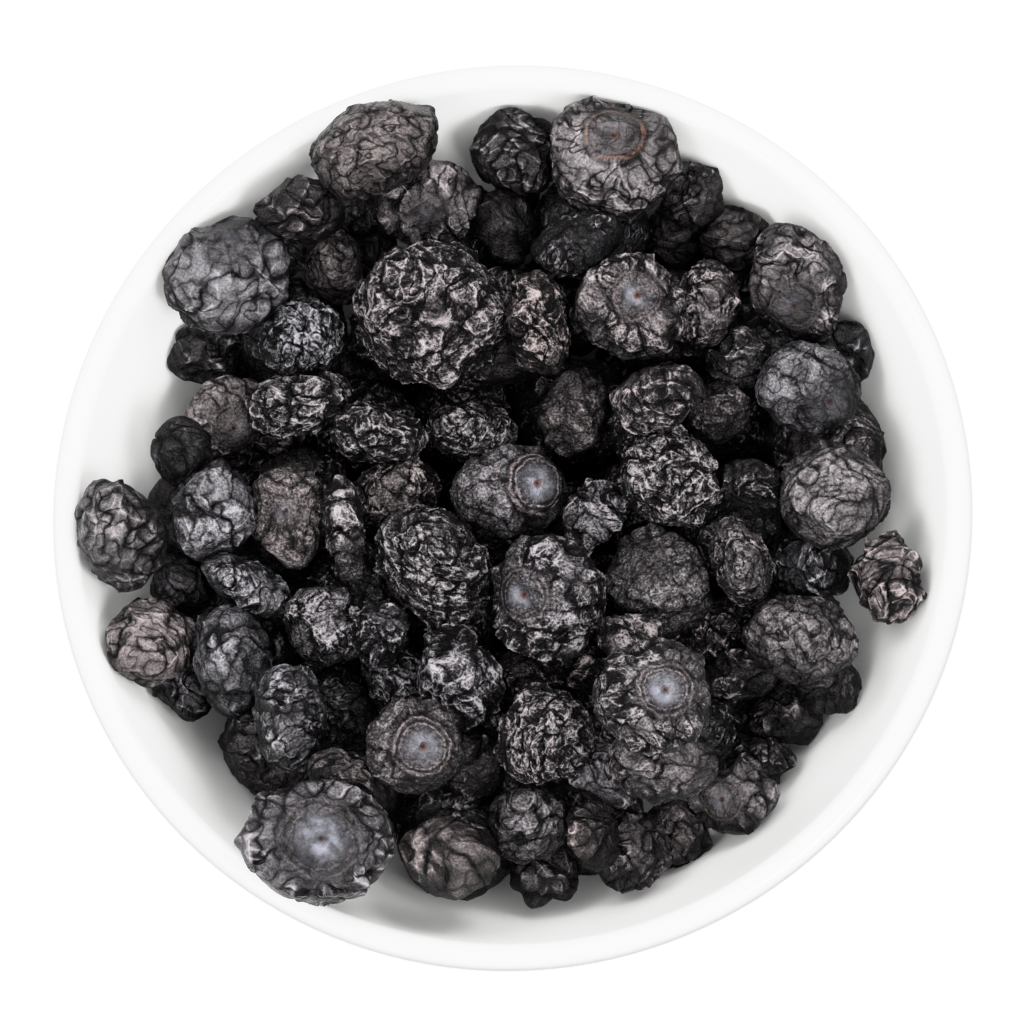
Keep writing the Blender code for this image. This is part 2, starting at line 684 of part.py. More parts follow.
def build():
    """The bowl, a node for each berry that lies on top, and groups of fused ones in the gaps and underneath."""
    for old in list(bpy.data.objects):
        bpy.data.objects.remove(old)
    collection = bpy.data.collections.new("bowl_of_dried_blueberries")
    bpy.context.scene.collection.children.link(collection)

    bowl = bowl_object()
    bowl.data.materials.append(material("glazed_porcelain", PORCELAIN_COLOUR, PORCELAIN_ROUGHNESS))
    collection.objects.link(bowl)

    heap = Heap()
    skin = material("dried_berry_skin", BERRY_COLOUR, BERRY_ROUGHNESS)
    for index in range(heap.single):
        berry = heap.berry(index, f"berry_{index + 1:02d}", TOP_SIZE, TOP_SKIN)
        berry.data.materials.append(skin)
        collection.objects.link(berry)
    for number, group in enumerate(heap.groups):
        members = []
        for index in group:
            size = GAP_SIZE if index < heap.shown else FILL_SIZE
            members.append(heap.berry(index, f"member_{index}", size, FUSED_SKIN))
        berries = fused(f"berries_beneath_{number + 1}", members, collection)
        berries.data.materials.append(skin)
        collection.objects.link(berries)


build()
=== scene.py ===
"""A small white porcelain bowl heaped with dried blueberries, dressed for a picture.

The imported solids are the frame. Each berry's solid is replaced by a finer berry of the same place, size and
turn, with its shrunken skin, and the bowl by the same bowl turned on more sides. The bowl, the places of the
berries and their widths are given in millimetres, and made in metres. The sizes of the skin's relief and of
the patterns in the materials are in metres, as Blender's nodes take them.
"""

import math

import bmesh
import bpy
import numpy as np
from mathutils import Matrix, Vector


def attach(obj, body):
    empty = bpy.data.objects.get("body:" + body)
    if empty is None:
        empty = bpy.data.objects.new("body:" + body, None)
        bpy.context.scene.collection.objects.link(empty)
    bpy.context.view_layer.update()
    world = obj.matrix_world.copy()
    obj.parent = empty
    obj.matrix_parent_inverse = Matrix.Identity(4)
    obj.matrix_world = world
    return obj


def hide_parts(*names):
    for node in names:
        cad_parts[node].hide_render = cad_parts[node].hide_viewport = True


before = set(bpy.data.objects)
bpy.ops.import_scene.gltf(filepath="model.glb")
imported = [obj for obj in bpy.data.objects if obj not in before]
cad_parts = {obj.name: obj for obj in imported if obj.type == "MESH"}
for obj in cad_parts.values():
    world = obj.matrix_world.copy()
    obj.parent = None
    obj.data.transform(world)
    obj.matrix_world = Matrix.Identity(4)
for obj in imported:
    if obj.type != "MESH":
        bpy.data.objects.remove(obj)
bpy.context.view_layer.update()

# The bowl: glazed porcelain, turned or jiggered in one piece with a rounded lip, a flaring wall and a foot
# ring. The foot's underside is left unglazed, so that it doesn't stick in the kiln. It stands by itself.
METRES = 0.001
RIM_RADIUS = 40.0
BOWL_HEIGHT = 34.0
LIP_RADIUS = 1.25
LIP_START = math.radians(65)
LIP_BLEND = 2.0
LIP_LINE = 0.4
LIP_STEPS = 16
INSIDE_STEPS = 59
OUTSIDE_STEPS = 23
WALL = 2.5
FLOOR_HEIGHT = 5.8
FLARE = 2.5
FOOT_RADIUS = 15.4
FOOT_CORNERS = [
    (0.0, 4.0), (0.0, 2.2), (0.0, 0.8), (0.15, 0.25), (0.5, 0.0),
    (2.4, 0.0), (2.55, 0.3), (2.7, 2.0), (3.3, 2.4),
]
FOOT_FLAT_UNDER = 0.2
BOWL_SIDES = 144
INNER_RIM = RIM_RADIUS - 2 * LIP_RADIUS
CAVITY_DEPTH = BOWL_HEIGHT - LIP_RADIUS - FLOOR_HEIGHT
RIM_CENTRE = np.array([0.0, 0.0, BOWL_HEIGHT])
NOISE, MIX, COLOURS = "ShaderNodeTexNoise", "ShaderNodeMix", {"data_type": "RGBA"}


def linear(hex_colour):
    """An sRGB hex colour as the linear RGBA that shaders take."""
    shares = [int(hex_colour[place:place + 2], 16) / 255 for place in (1, 3, 5)]
    return [*(s / 12.92 if s <= 0.04045 else ((s + 0.055) / 1.055) ** 2.4 for s in shares), 1.0]


def add(tree, kind, settings, inputs, output=0):
    """Adds a node with its settings and its inputs linked or set, and gives one of its outputs."""
    node = tree.nodes.new(kind)
    for name, value in settings.items():
        setattr(node, name, value)
    for name, value in inputs.items() if isinstance(inputs, dict) else enumerate(inputs):
        if isinstance(value, bpy.types.NodeSocket):
            tree.links.new(value, node.inputs[name])
        else:
            node.inputs[name].default_value = value
    return node.outputs[output]


def new_material(name, finish):
    """A material with a Principled shader of this finish, its nodes, and that shader's inputs."""
    material = bpy.data.materials.new(name)
    material.use_nodes = True
    shader = material.node_tree.nodes["Principled BSDF"]
    for socket, value in finish.items():
        shader.inputs[socket].default_value = value
    return material, material.node_tree, shader.inputs


def set_out(name, data):
    """An object with this data, set out in the scene."""
    thing = bpy.data.objects.new(name, data)
    bpy.context.scene.collection.objects.link(thing)
    return thing


def finished_mesh(thing):
    """The mesh of an object with its modifiers run. The object itself is put away."""
    mesh = bpy.data.meshes.new_from_object(thing.evaluated_get(bpy.context.evaluated_depsgraph_get()))
    bpy.data.objects.remove(thing)
    return mesh


def unit(vectors):
    """The same directions, one unit long."""
    return vectors / np.linalg.norm(vectors, axis=-1, keepdims=True)


def cavity_height(radius):
    """Height of the bowl's inside surface at a radius."""
    return FLOOR_HEIGHT + CAVITY_DEPTH * (np.asarray(radius) / INNER_RIM) ** FLARE


def cavity_slope(radius):
    """How steeply the bowl's inside surface climbs at a radius."""
    return CAVITY_DEPTH * FLARE / INNER_RIM * (np.asarray(radius) / INNER_RIM) ** (FLARE - 1)


def bowl_outline():
    """The bowl's outline, from the middle of its floor up the inside, over the lip, and down to the foot."""
    wall_end = RIM_RADIUS - LIP_RADIUS - LIP_RADIUS * math.sin(LIP_START)
    rise = BOWL_HEIGHT - LIP_RADIUS + LIP_RADIUS * math.cos(LIP_START) - float(cavity_height(wall_end))
    points = []
    for radius in np.linspace(0, wall_end, INSIDE_STEPS + 1):
        blend = max(0.0, 1 - (wall_end - radius) / LIP_BLEND)
        points.append((radius, float(cavity_height(radius)) + rise * blend ** 2))
    for turn in np.linspace(math.pi / 2 + LIP_START, 0, LIP_STEPS + 1)[1:]:
        out = RIM_RADIUS - LIP_RADIUS + LIP_RADIUS * math.cos(turn)
        points.append((out, BOWL_HEIGHT - LIP_RADIUS + LIP_RADIUS * math.sin(turn)))
    points.append((RIM_RADIUS - 0.1, BOWL_HEIGHT - LIP_RADIUS - LIP_LINE))
    for radius in np.linspace(INNER_RIM, FOOT_RADIUS, OUTSIDE_STEPS + 1)[1:]:
        slope = float(cavity_slope(radius))
        steep = math.hypot(1, slope)
        points.append((radius + WALL * slope / steep, float(cavity_height(radius)) - WALL / steep))
    for inwards, height in (*FOOT_CORNERS, (FOOT_RADIUS, FOOT_CORNERS[-1][1])):
        points.append((FOOT_RADIUS - inwards, height))
    return points


outline = bmesh.new()
corners = [outline.verts.new((radius * METRES, 0, height * METRES)) for radius, height in bowl_outline()]
for one, other in zip(corners, corners[1:]):
    outline.edges.new((one, other))
outline_mesh = bpy.data.meshes.new("bowl_outline")
outline.to_mesh(outline_mesh)
outline.free()
turned = set_out("bowl_turned", outline_mesh)
screw = turned.modifiers.new("turned", "SCREW")
screw.axis = "Z"
screw.steps = BOWL_SIDES
screw.render_steps = BOWL_SIDES
screw.use_merge_vertices = True
screw.merge_threshold = 0.00001
screw.use_smooth_shade = True
bowl_mesh = finished_mesh(turned)
bowl = set_out("porcelain_bowl", bowl_mesh)
bowl_mesh.shade_smooth()
corners = np.array([vertex.co for vertex in bowl_mesh.vertices]) / METRES
out, height = np.hypot(corners[:, 0], corners[:, 1]), corners[:, 2]
# Painted shade: a mask for a grey line on the lip's outer edge, where the lip turns away from the light.
painted_lip_shade = np.clip((out - RIM_RADIUS + LIP_LINE) / (LIP_LINE - 0.05), 0, 1)
painted_lip_shade *= height > BOWL_HEIGHT - LIP_RADIUS - 0.01
bowl_mesh.attributes.new("painted_lip_shade", "FLOAT", "POINT").data.foreach_set("value", painted_lip_shade.astype(float))

# Glazed porcelain: a vitrified white body under a clear glaze. The glaze is smooth and glossy, and lies a
# little unevenly, so that reflections waver. On the lip's outer edge a grey line is painted shade, where the
# lip turns away from the light.
porcelain, tree, shader = new_material("glazed_porcelain", {"Roughness": 0.16, "IOR": 1.5})
place = add(tree, "ShaderNodeTexCoord", {}, {}, "Object")
cloud = add(tree, NOISE, {}, {"Vector": place, "Scale": 1 / 0.018, "Detail": 2.0, "Roughness": 0.5})
tone = add(tree, MIX, COLOURS, {"Factor": cloud, "A": linear("#f0f0ee"), "B": linear("#f3f3f2")}, "Result")
# The lip's outer edge is painted grey, as painted shade.
painted_lip_shade = add(tree, "ShaderNodeAttribute", {"attribute_name": "painted_lip_shade"}, {}, "Fac")
tone = add(tree, MIX, COLOURS, {"Factor": painted_lip_shade, "A": tone, "B": linear("#75726b")}, "Result")
tree.links.new(tone, shader["Base Color"])
waver = add(tree, NOISE, {}, {"Vector": place, "Scale": 1 / 0.009, "Detail": 1.0})
bump = add(tree, "ShaderNodeBump", {}, {"Height": waver, "Strength": 0.2, "Distance": 0.00012})
tree.links.new(bump, shader["Normal"])

# Biscuit porcelain on the foot's flat: bare, matt and a little warmer than the glaze.
biscuit, tree, shader = new_material("bare_porcelain_foot", {"Roughness": 0.85})
place = add(tree, "ShaderNodeTexCoord", {}, {}, "Object")
grain = add(tree, NOISE, {}, {"Vector": place, "Scale": 1 / 0.0004, "Detail": 2.0})
tone = add(tree, MIX, COLOURS, {"Factor": grain, "A": linear("#e3ded4"), "B": linear("#efece6")}, "Result")
tree.links.new(tone, shader["Base Color"])
bump = add(tree, "ShaderNodeBump", {}, {"Height": grain, "Strength": 0.5, "Distance": 0.00004})
tree.links.new(bump, shader["Normal"])

bowl_mesh.materials.clear()
bowl_mesh.materials.append(porcelain)
bowl_mesh.materials.append(biscuit)
for face in bowl_mesh.polygons:
    if max(bowl_mesh.vertices[index].co.z for index in face.vertices) < FOOT_FLAT_UNDER * METRES:
        face.material_index = 1
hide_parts("bowl")
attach(bowl, "root")

# Where the berries lie. Each fell where it lies and rests on those under it and on the bowl: this is the
# same table and the same settling that the solids come from, in millimetres, so that every finer berry sits
# on its own solid.
LEAN = math.radians(11.4)
LEAN_TOWARDS = math.radians(-70.4)
HEAP_CROWN = 3.5
HEAP_FALL = 7.5
HEAP_REACH = 36.0
HEAP_ROUNDING = 3
THINNEST = 0.66
DEEPEST = 0.9
GAP = 0.12
WALL_GAP = 0.45
PRESSED = 0.95
SETTLING_ROUNDS = 260
FALL = 0.05
FALLING_SHARE = 0.8
PUSH_SHARE = 0.8
HOLD_IN_VIEW = 0.15
ROUNDS_BETWEEN_SEARCHES = 20
SEARCH_MARGIN = 2.0
WALL_PROBES = 60

# Berries on top: middle as seen, long and short width, turn of the long one, depth under the crown, and the
# calyx where it shows: its place from the middle, its ring's radius, how much of its bloom and of its ring
# is left, how rusty the ring is, and the side that keeps the bloom, as an angle in the picture, or None for
# all of it.
TOP_BERRIES = [
    (-6.7, 17.3, 13.6, 12.6, -20, -1.0, (0.2, 0.6, 0.7, 0.0, 0.0, 0.0, None)),
    (-24.6, 20.9, 11.2, 10.2, -10, 0.0, (0.1, 3.0, 1.9, 0.25, 0.05, 0.0, 20)),
    (-11.8, 31.6, 11.8, 8.2, 28, 0.0, None),
    (-16.2, 21.6, 7.2, 5.4, 100, 2.0, None),
    (-18.0, 15.0, 7.6, 6.4, 10, 0.0, None),
    (-6.8, 27.1, 9.3, 7.2, 0, 0.5, (-0.3, -0.7, 1.6, 0.15, 0.0, 0.3, 0)),
    (2.0, 16.6, 9.6, 5.2, 100, 1.5, None),
    (8.6, 30.4, 11.6, 10.6, -15, 0.0, (0.3, 2.6, 2.3, 0.12, 0.45, 1.0, 110)),
    (10.2, 18.8, 10.0, 9.0, -20, 0.0, (0.6, 0.9, 2.0, 0.6, 0.2, 0.4, 220)),
    (24.6, 20.0, 10.6, 8.0, -72, 1.0, (-0.3, -2.4, 2.0, 0.15, 0.12, 0.1, 90)),
    (16.8, 17.8, 8.6, 5.6, 75, 1.5, None),
    (-34.0, -1.6, 10.2, 7.4, -75, -1.5, None),
    (-25.7, 0.2, 8.4, 7.2, 60, 0.8, None),
    (-25.0, 8.4, 7.8, 7.0, 70, 3.0, (0.9, -0.8, 1.8, 0.25, 0.12, 0.1, 0)),
    (-18.0, 9.6, 9.8, 5.6, 12, 1.0, None),
    (-19.2, 0.0, 9.4, 6.4, 100, 0.3, (-0.5, 0.3, 1.5, 0.3, 0.0, 0.0, None)),
    (-14.8, -1.2, 9.8, 3.8, 97, -0.6, None),
    (-10.5, 1.8, 8.0, 6.5, 30, 0.6, None),
    (-23.0, -6.6, 9.0, 4.0, -30, 1.8, None),
    (-31.4, -11.1, 8.0, 7.4, 0, -0.5, None),
    (-24.4, -12.4, 10.8, 6.4, 98, 0.3, (0.6, -3.4, 0.6, 0.0, 0.0, 0.0, None)),
    (-16.0, -9.8, 7.4, 6.8, -20, 1.0, None),
    (-12.0, 7.2, 8.6, 5.0, -8, 0.8, None),
    (0.0, 2.0, 10.6, 8.0, 8, -0.5, (2.6, 0.8, 2.4, 1.0, 0.9, 0.3, None)),
    (-3.3, 7.2, 8.0, 5.0, -10, 2.5, None),
    (5.8, 9.2, 8.5, 6.0, 80, 3.0, (-1.0, 2.4, 1.7, 0.22, 0.0, 0.0, 150)),
    (-6.7, -5.0, 11.6, 8.8, -55, -0.5, None),
    (3.0, -7.2, 11.4, 10.0, -75, -0.5, (-2.3, 0.2, 2.1, 0.6, 0.35, 0.3, 195)),
    (7.3, 0.0, 6.2, 5.4, 60, 1.8, None),
    (14.0, 3.4, 9.6, 8.2, -60, -0.3, None),
    (13.0, 9.7, 8.6, 5.4, 15, 2.0, None),
    (12.8, -6.2, 10.0, 8.8, -50, 2.0, (-1.6, 2.0, 1.8, 0.0, 0.0, 0.0, 0)),
    (10.5, -10.4, 6.4, 4.4, -5, 1.8, None),
    (25.8, 10.8, 9.6, 8.0, -15, 1.0, (2.2, -1.4, 2.1, 0.12, 0.0, 0.3, 0)),
    (27.7, 1.7, 9.8, 9.0, -15, 1.0, None),
    (19.8, -4.1, 8.2, 4.6, -72, 0.8, None),
    (25.3, -10.9, 10.2, 7.6, -8, 0.0, None),
    (32.8, -5.6, 8.2, 5.8, -80, 1.5, None),
    (-19.4, -17.2, 9.8, 6.0, 95, 1.8, None),
    (-16.7, -27.8, 13.4, 10.8, -5, -0.5, (0.5, 0.3, 3.2, 1.0, 0.15, 0.0, None)),
    (-9.6, -14.4, 8.0, 5.4, -50, 1.0, None),
    (-5.0, -14.4, 9.4, 7.0, 105, 0.0, None),
    (-8.6, -20.0, 8.8, 8.2, 0, 1.0, (1.0, -0.2, 2.3, 0.65, 0.65, 0.35, None)),
    (-5.0, -29.6, 9.2, 6.4, -18, 2.5, None),
    (1.4, -26.8, 6.8, 6.2, 0, 2.5, None),
    (2.9, -19.5, 8.8, 8.2, -10, 0.0, None),
    (8.6, -22.8, 8.2, 5.4, -10, 2.5, None),
    (12.2, -16.0, 10.2, 9.8, 0, -0.8, (1.2, 0.9, 2.2, 1.0, 0.5, 0.1, 175)),
    (12.8, -21.5, 9.6, 6.6, 0, 1.5, None),
    (19.2, -24.7, 8.0, 5.8, 8, 2.5, (-1.2, 0.2, 1.7, 0.2, 0.15, 0.6, None)),
]

# Berries in the gaps between those: middle, widths, turn and depth.
GAP_BERRIES = [
    (-18.3, 26.4, 8.0, 6.0, 0, 5.0),
    (-26.3, 13.3, 6.2, 5.6, 0, 5.0),
    (-20.5, 23.6, 6.2, 5.8, 0, 6.0),
    (-12.6, 23.2, 6.4, 5.0, 90, 5.0),
    (-0.6, 25.0, 7.0, 5.6, 110, 4.0),
    (0.3, 30.8, 8.0, 7.0, 0, 4.5),
    (6.0, 23.2, 8.5, 5.4, 30, 4.0),
    (15.7, 27.8, 6.0, 5.4, 90, 4.0),
    (19.6, 24.0, 6.6, 6.0, 0, 5.0),
    (19.7, 13.0, 5.6, 5.2, 0, 5.0),
    (-28.4, 5.2, 6.8, 4.8, 90, 5.5),
    (-28.8, -6.0, 5.4, 5.2, 0, 5.0),
    (10.8, 1.2, 5.8, 4.8, -50, 4.0),
    (-11.2, -10.2, 5.8, 5.0, 90, 3.0),
    (28.8, 13.8, 5.8, 5.4, 0, 4.0),
    (17.8, 8.9, 5.6, 5.2, 0, 4.5),
    (25.6, -4.6, 8.0, 6.0, 0, 3.0),
    (20.6, 2.2, 6.0, 5.4, 0, 5.5),
    (-22.0, -19.8, 5.6, 5.2, 0, 4.5),
    (-27.6, -14.8, 5.6, 5.2, 0, 5.0),
    (-13.5, -23.0, 8.0, 5.4, -20, 4.0),
    (-15.0, -17.5, 6.6, 5.8, 90, 6.0),
    (-3.6, -21.7, 6.0, 5.4, 0, 5.0),
    (2.8, -30.8, 6.2, 5.2, 0, 4.0),
    (6.5, -12.8, 5.2, 4.6, 0, 4.0),
    (1.6, -14.0, 6.6, 5.2, 0, 4.5),
    (10.4, -29.2, 7.0, 6.4, 60, 3.0),
    (6.9, -27.9, 5.6, 4.8, 90, 4.5),
    (14.3, -28.4, 6.2, 5.4, -60, 4.5),
    (17.2, -19.2, 6.6, 5.2, 90, 3.5),
    (20.3, -13.8, 7.2, 4.8, 5, 3.0),
    (23.4, -17.4, 6.6, 5.8, 0, 4.0),
    (21.4, -21.2, 6.2, 4.8, 0, 4.0),
    (27.3, -14.8, 5.6, 5.2, 0, 4.0),
    (18.2, -10.6, 5.6, 5.0, 0, 5.0),
]

FILL_SEED = 11
FILL_SPACING = 10.2
FILL_LAYER_STEP = 0.78
FILL_LAYERS = 6
FILL_ROWS = 6
FILL_FIRST_LAYER = 3.6
FILL_JITTER = 0.8
FILL_WALL_MARGIN = 2.6
FILL_UNDER = 5.0
FILL_LONG = (10.6, 12.6)
FILL_SHORT = (0.8, 0.98)
FILL_THIRD = 0.72
FILL_TIP = 0.5
FUSED_GROUPS = 9
LINK_REACH = 1.1
LINK_CARE = 40.0
CALYX_HIDDEN = 1.3


def sight_axes():
    """Right, up and towards the eye, for the eye that leans from straight above without rolling."""
    overhead = np.array([0.0, 0.0, 1.0])
    towards = np.array([math.cos(LEAN_TOWARDS), math.sin(LEAN_TOWARDS), 0.0])
    beside = np.array([-towards[1], towards[0], 0.0])
    eye = towards * math.sin(LEAN) + overhead * math.cos(LEAN)
    tipped = towards * math.cos(LEAN) - overhead * math.sin(LEAN)
    right = beside * beside[0] + tipped * towards[0]
    up = beside * beside[1] + tipped * towards[1]
    return right, up, eye


def on_sight_line(seen, height):
    """The points at a height over the rim that show at the places seen, counted from the rim's centre."""
    right, up, eye = sight_axes()
    point = seen[:, :1] * right + seen[:, 1:2] * up
    return RIM_CENTRE + point + ((height - point[:, 2]) / eye[2])[:, None] * eye


def crown_surface(radius):
    """Height, over the rim, of the middles of berries that lie on the heap."""
    return HEAP_CROWN - HEAP_FALL * (radius / HEAP_REACH) ** HEAP_ROUNDING


def third_width(long, short, flat_side_up):
    """A dried blueberry is a flattened ball: seen round it is thin along the eye, seen slim it is deep."""
    deep = np.clip(THINNEST * long**2 / short, THINNEST * long, DEEPEST * long)
    return np.where(flat_side_up, THINNEST * long, deep)


def turned_about_eye(degrees):
    """Rows are a berry's long, short and third axis, when the long one is turned this far from the right."""
    right, up, eye = sight_axes()
    turn = math.radians(degrees)
    long_axis = right * math.cos(turn) + up * math.sin(turn)
    return np.array([long_axis, np.cross(eye, long_axis), eye])


def lying_any_way(draw):
    """Axes of a berry that settled roughly flat: any way round, and tipped a little to any side."""
    spin = draw.uniform(0, 2 * math.pi)
    tip = draw.uniform(0, FILL_TIP)
    lean = draw.uniform(0, 2 * math.pi)
    third = np.array([math.sin(tip) * math.cos(lean), math.sin(tip) * math.sin(lean), math.cos(tip)])
    flat = np.array([math.cos(spin), math.sin(spin), 0.0])
    long_axis = unit(flat - third * (flat @ third))
    return np.array([long_axis, np.cross(third, long_axis), third])


def placed_berries():
    """The berries of both lists as arrays: where each shows, its middle, half widths and axes."""
    rows = TOP_BERRIES + GAP_BERRIES
    seen = np.array([row[:2] for row in rows])
    widths = np.array([row[2:4] for row in rows])
    under = np.array([row[5] for row in rows])
    middle = on_sight_line(seen, crown_surface(np.linalg.norm(seen, axis=1)) - under)
    flat_side_up = np.array([len(row) > 6 and row[6] is not None for row in rows])
    half = np.column_stack([widths, third_width(widths[:, 0], widths[:, 1], flat_side_up)]) / 2
    axes = np.array([turned_about_eye(row[4]) for row in rows])
    return seen, middle, half, axes


def filling_berries():
    """Berries under the ones that show, on a jittered hexagonal lattice that fills the bowl."""
    draw = np.random.default_rng(FILL_SEED)
    middles, halves, axes = [], [], []
    places = range(-FILL_ROWS, FILL_ROWS + 1)
    row_step = FILL_SPACING * math.sqrt(3) / 2
    for layer in range(FILL_LAYERS):
        shift = layer % 2
        z = FLOOR_HEIGHT + FILL_FIRST_LAYER + layer * FILL_LAYER_STEP * FILL_SPACING
        for row in places:
            for column in places:
                x = (column + (row % 2) / 2 + shift / 3) * FILL_SPACING
                y = (row + shift * 0.4) * row_step
                point = np.array([x, y, z]) + draw.uniform(-FILL_JITTER, FILL_JITTER, 3)
                long = draw.uniform(*FILL_LONG)
                half = np.array([long, long * draw.uniform(*FILL_SHORT), long * FILL_THIRD]) / 2
                turned = lying_any_way(draw)
                radius = math.hypot(point[0], point[1])
                roof = BOWL_HEIGHT + crown_surface(radius) - FILL_UNDER
                if cavity_height(radius + FILL_WALL_MARGIN) < point[2] < roof:
                    middles.append(point)
                    halves.append(half)
                    axes.append(turned)
    return np.array(middles), np.array(halves), np.array(axes)


def spreads(half, axes):
    """For each berry the matrix whose quadratic form, rooted, is how far it reaches along a direction."""
    return np.einsum("nki,nk,nkj->nij", axes, half**2, axes)


def reach(spread, direction):
    """How far each berry reaches from its middle along its direction."""
    return np.sqrt(np.einsum("ni,nij,nj->n", direction, spread, direction))


def contacts(middle, spread, pairs):
    """For each pair, the direction across their contact, and the gap, which is negative for an overlap."""
    first, second = pairs.T
    between = middle[second] - middle[first]
    across = unit(between)
    for _ in range(4):
        share = reach(spread[first], across)
        share = (share / (share + reach(spread[second], across)))[:, None, None]
        mixed = (1 - share) * spread[first] + share * spread[second]
        across = unit(np.linalg.solve(mixed, between[:, :, None])[:, :, 0])
    reached = reach(spread[first], across) + reach(spread[second], across)
    return across, np.einsum("ni,ni->n", between, across) - reached


def near_pairs(middle, half):
    """Index pairs of berries that may touch."""
    largest = half.max(axis=1)
    distance = np.linalg.norm(middle[:, None] - middle[None], axis=2)
    close = distance < largest[:, None] + largest[None] + SEARCH_MARGIN
    return np.argwhere(np.triu(close, 1))


def even_directions(count):
    """Evenly spread unit directions, on a spiral from pole to pole."""
    index = np.arange(count) + 0.5
    z = 1 - 2 * index / count
    turn = index * math.pi * (3 - math.sqrt(5))
    flat = np.sqrt(1 - z * z)
    return np.column_stack([flat * np.cos(turn), flat * np.sin(turn), z])


def wall_push(middle, half, axes, probes):
    """How far to move each berry so that it clears the bowl's inside surface."""
    surface = middle[:, None] + np.einsum("pk,nk,nki->npi", probes, half, axes)
    radius = np.maximum(np.hypot(surface[..., 0], surface[..., 1]), 1e-6)
    slope = cavity_slope(radius)
    sunk = (cavity_height(radius) - surface[..., 2]) / np.hypot(1, slope)
    each, deepest = np.arange(len(middle)), sunk.argmax(axis=1)
    outward = surface[each, deepest, :2] / radius[each, deepest][:, None]
    inward = np.column_stack([-outward * slope[each, deepest][:, None], np.ones(len(middle))])
    return unit(inward) * np.maximum(sunk[each, deepest], 0.0)[:, None]


def settled(seen, middle, half, axes):
    """Lets the berries down until they rest on each other and the bowl. Those that show keep their places."""
    middle = middle.copy()
    shown = len(seen)
    half = half * PRESSED
    spread = spreads(half, axes)
    probes = even_directions(WALL_PROBES)
    for turn in range(SETTLING_ROUNDS):
        if turn % ROUNDS_BETWEEN_SEARCHES == 0:
            pairs = near_pairs(middle, half)
        if turn <= SETTLING_ROUNDS * FALLING_SHARE:
            middle[:, 2] -= FALL
        wanted = on_sight_line(seen, middle[:shown, 2] - BOWL_HEIGHT)
        middle[:shown, :2] += HOLD_IN_VIEW * (wanted - middle[:shown])[:, :2]
        across, gap = contacts(middle, spread, pairs)
        push = across * np.minimum(gap, 0.0)[:, None]
        moved = np.zeros_like(middle)
        touched = np.zeros(len(middle))
        for column, away in ((0, 1.0), (1, -1.0)):
            np.add.at(moved, pairs[:, column], away * push)
            np.add.at(touched, pairs[:, column], gap < 0.0)
        middle += PUSH_SHARE * moved / np.maximum(touched, 1.0)[:, None]
        middle += wall_push(middle, half, axes, probes)
    return middle


def calyx_row(index):
    """What the table says of a berry's calyx, or None for one that doesn't show."""
    return TOP_BERRIES[index][6] if index < len(TOP_BERRIES) else None


def calyx_place(x, y, half, axes):
    """Where a calyx that shows sits on its berry: along each of the berry's axes, in half widths."""
    right, up, _ = sight_axes()
    beside = axes[:2] @ (x * right + y * up) / half[:2]
    return np.append(beside, math.sqrt(max(1 - beside @ beside, 0.1)))


def calyx_axes(axes, half, draw):
    """Where each berry's calyx points: as seen, or else away from the eye."""
    eye = sight_axes()[2]
    result = []
    for index in range(len(axes)):
        seen = calyx_row(index)
        if seen is None:
            axis = unit(draw.normal(size=3)) - CALYX_HIDDEN * eye
        else:
            axis = (calyx_place(*seen[:2], half[index], axes[index]) / half[index]) @ axes[index]
        result.append(unit(axis))
    return np.array(result)


def reached_from(start, touching):
    """All the berries that a chain of touching ones joins to the first."""
    reached = {start}
    edge = [start]
    while edge:
        for index in touching[edge.pop()]:
            if index not in reached:
                reached.add(index)
                edge.append(index)
    return reached


def group_seeds(members, middle, touching):
    """A first berry for each group: one in each cluster that touches no other, the rest far apart."""
    seeds = []
    covered = set()
    for index in members:
        if index not in covered:
            covered |= reached_from(index, touching)
            seeds.append(index)
    while len(seeds) < FUSED_GROUPS:
        apart = [min(np.linalg.norm(middle[index] - middle[seed]) for seed in seeds) for index in members]
        seeds.append(members[int(np.argmax(apart))])
    return seeds


def grown_groups(first, pairs, middle, gap):
    """Shares the berries from index first on among groups, each berry with the nearest one of its group."""
    members = range(first, len(middle))
    touching = {index: {} for index in members}
    for (one, other), between in zip(pairs, gap):
        if between < LINK_REACH and one >= first and other >= first:
            touching[one][other] = between
            touching[other][one] = between
    groups = [[seed] for seed in group_seeds(members, middle, touching)]
    taken = {group[0] for group in groups}
    while len(taken) < len(members):
        for group in sorted(groups, key=len):
            edge = set().union(*(touching[index] for index in group)) - taken
            if edge:
                centre = middle[group].mean(axis=0)
                cost = {}
                for index in sorted(edge):
                    between = min(touching[index][holder] for holder in group if holder in touching[index])
                    cost[index] = LINK_CARE * max(between, 0) + np.linalg.norm(middle[index] - centre)
                chosen = min(cost, key=cost.get)
                group.append(chosen)
                taken.add(chosen)
                break
    return groups


def contact_planes(pairs, across, gap, spread):
    """For each berry the planes that part it from its neighbours, midway between the two."""
    parting = [[] for _ in spread]
    first_reach = reach(spread[pairs[:, 0]], across)
    second_reach = reach(spread[pairs[:, 1]], across)
    for index, (one, other) in enumerate(pairs):
        room = (gap[index] - GAP) / 2
        parting[one].append((across[index], first_reach[index] + room))
        parting[other].append((-across[index], second_reach[index] + room))
    return parting


seen, middle, half, axes = placed_berries()
below_middle, below_half, below_axes = filling_berries()
single = len(TOP_BERRIES)
shown = len(seen)
half = np.vstack([half, below_half])
axes = np.concatenate([axes, below_axes])
middle = settled(seen, np.vstack([middle, below_middle]), half, axes)
draw = np.random.default_rng(FILL_SEED)
calyx = calyx_axes(axes, half, draw)
pairs = near_pairs(middle, half)
spread = spreads(half * PRESSED, axes)
across, gap = contacts(middle, spread, pairs)
groups = grown_groups(single, pairs, middle, gap)

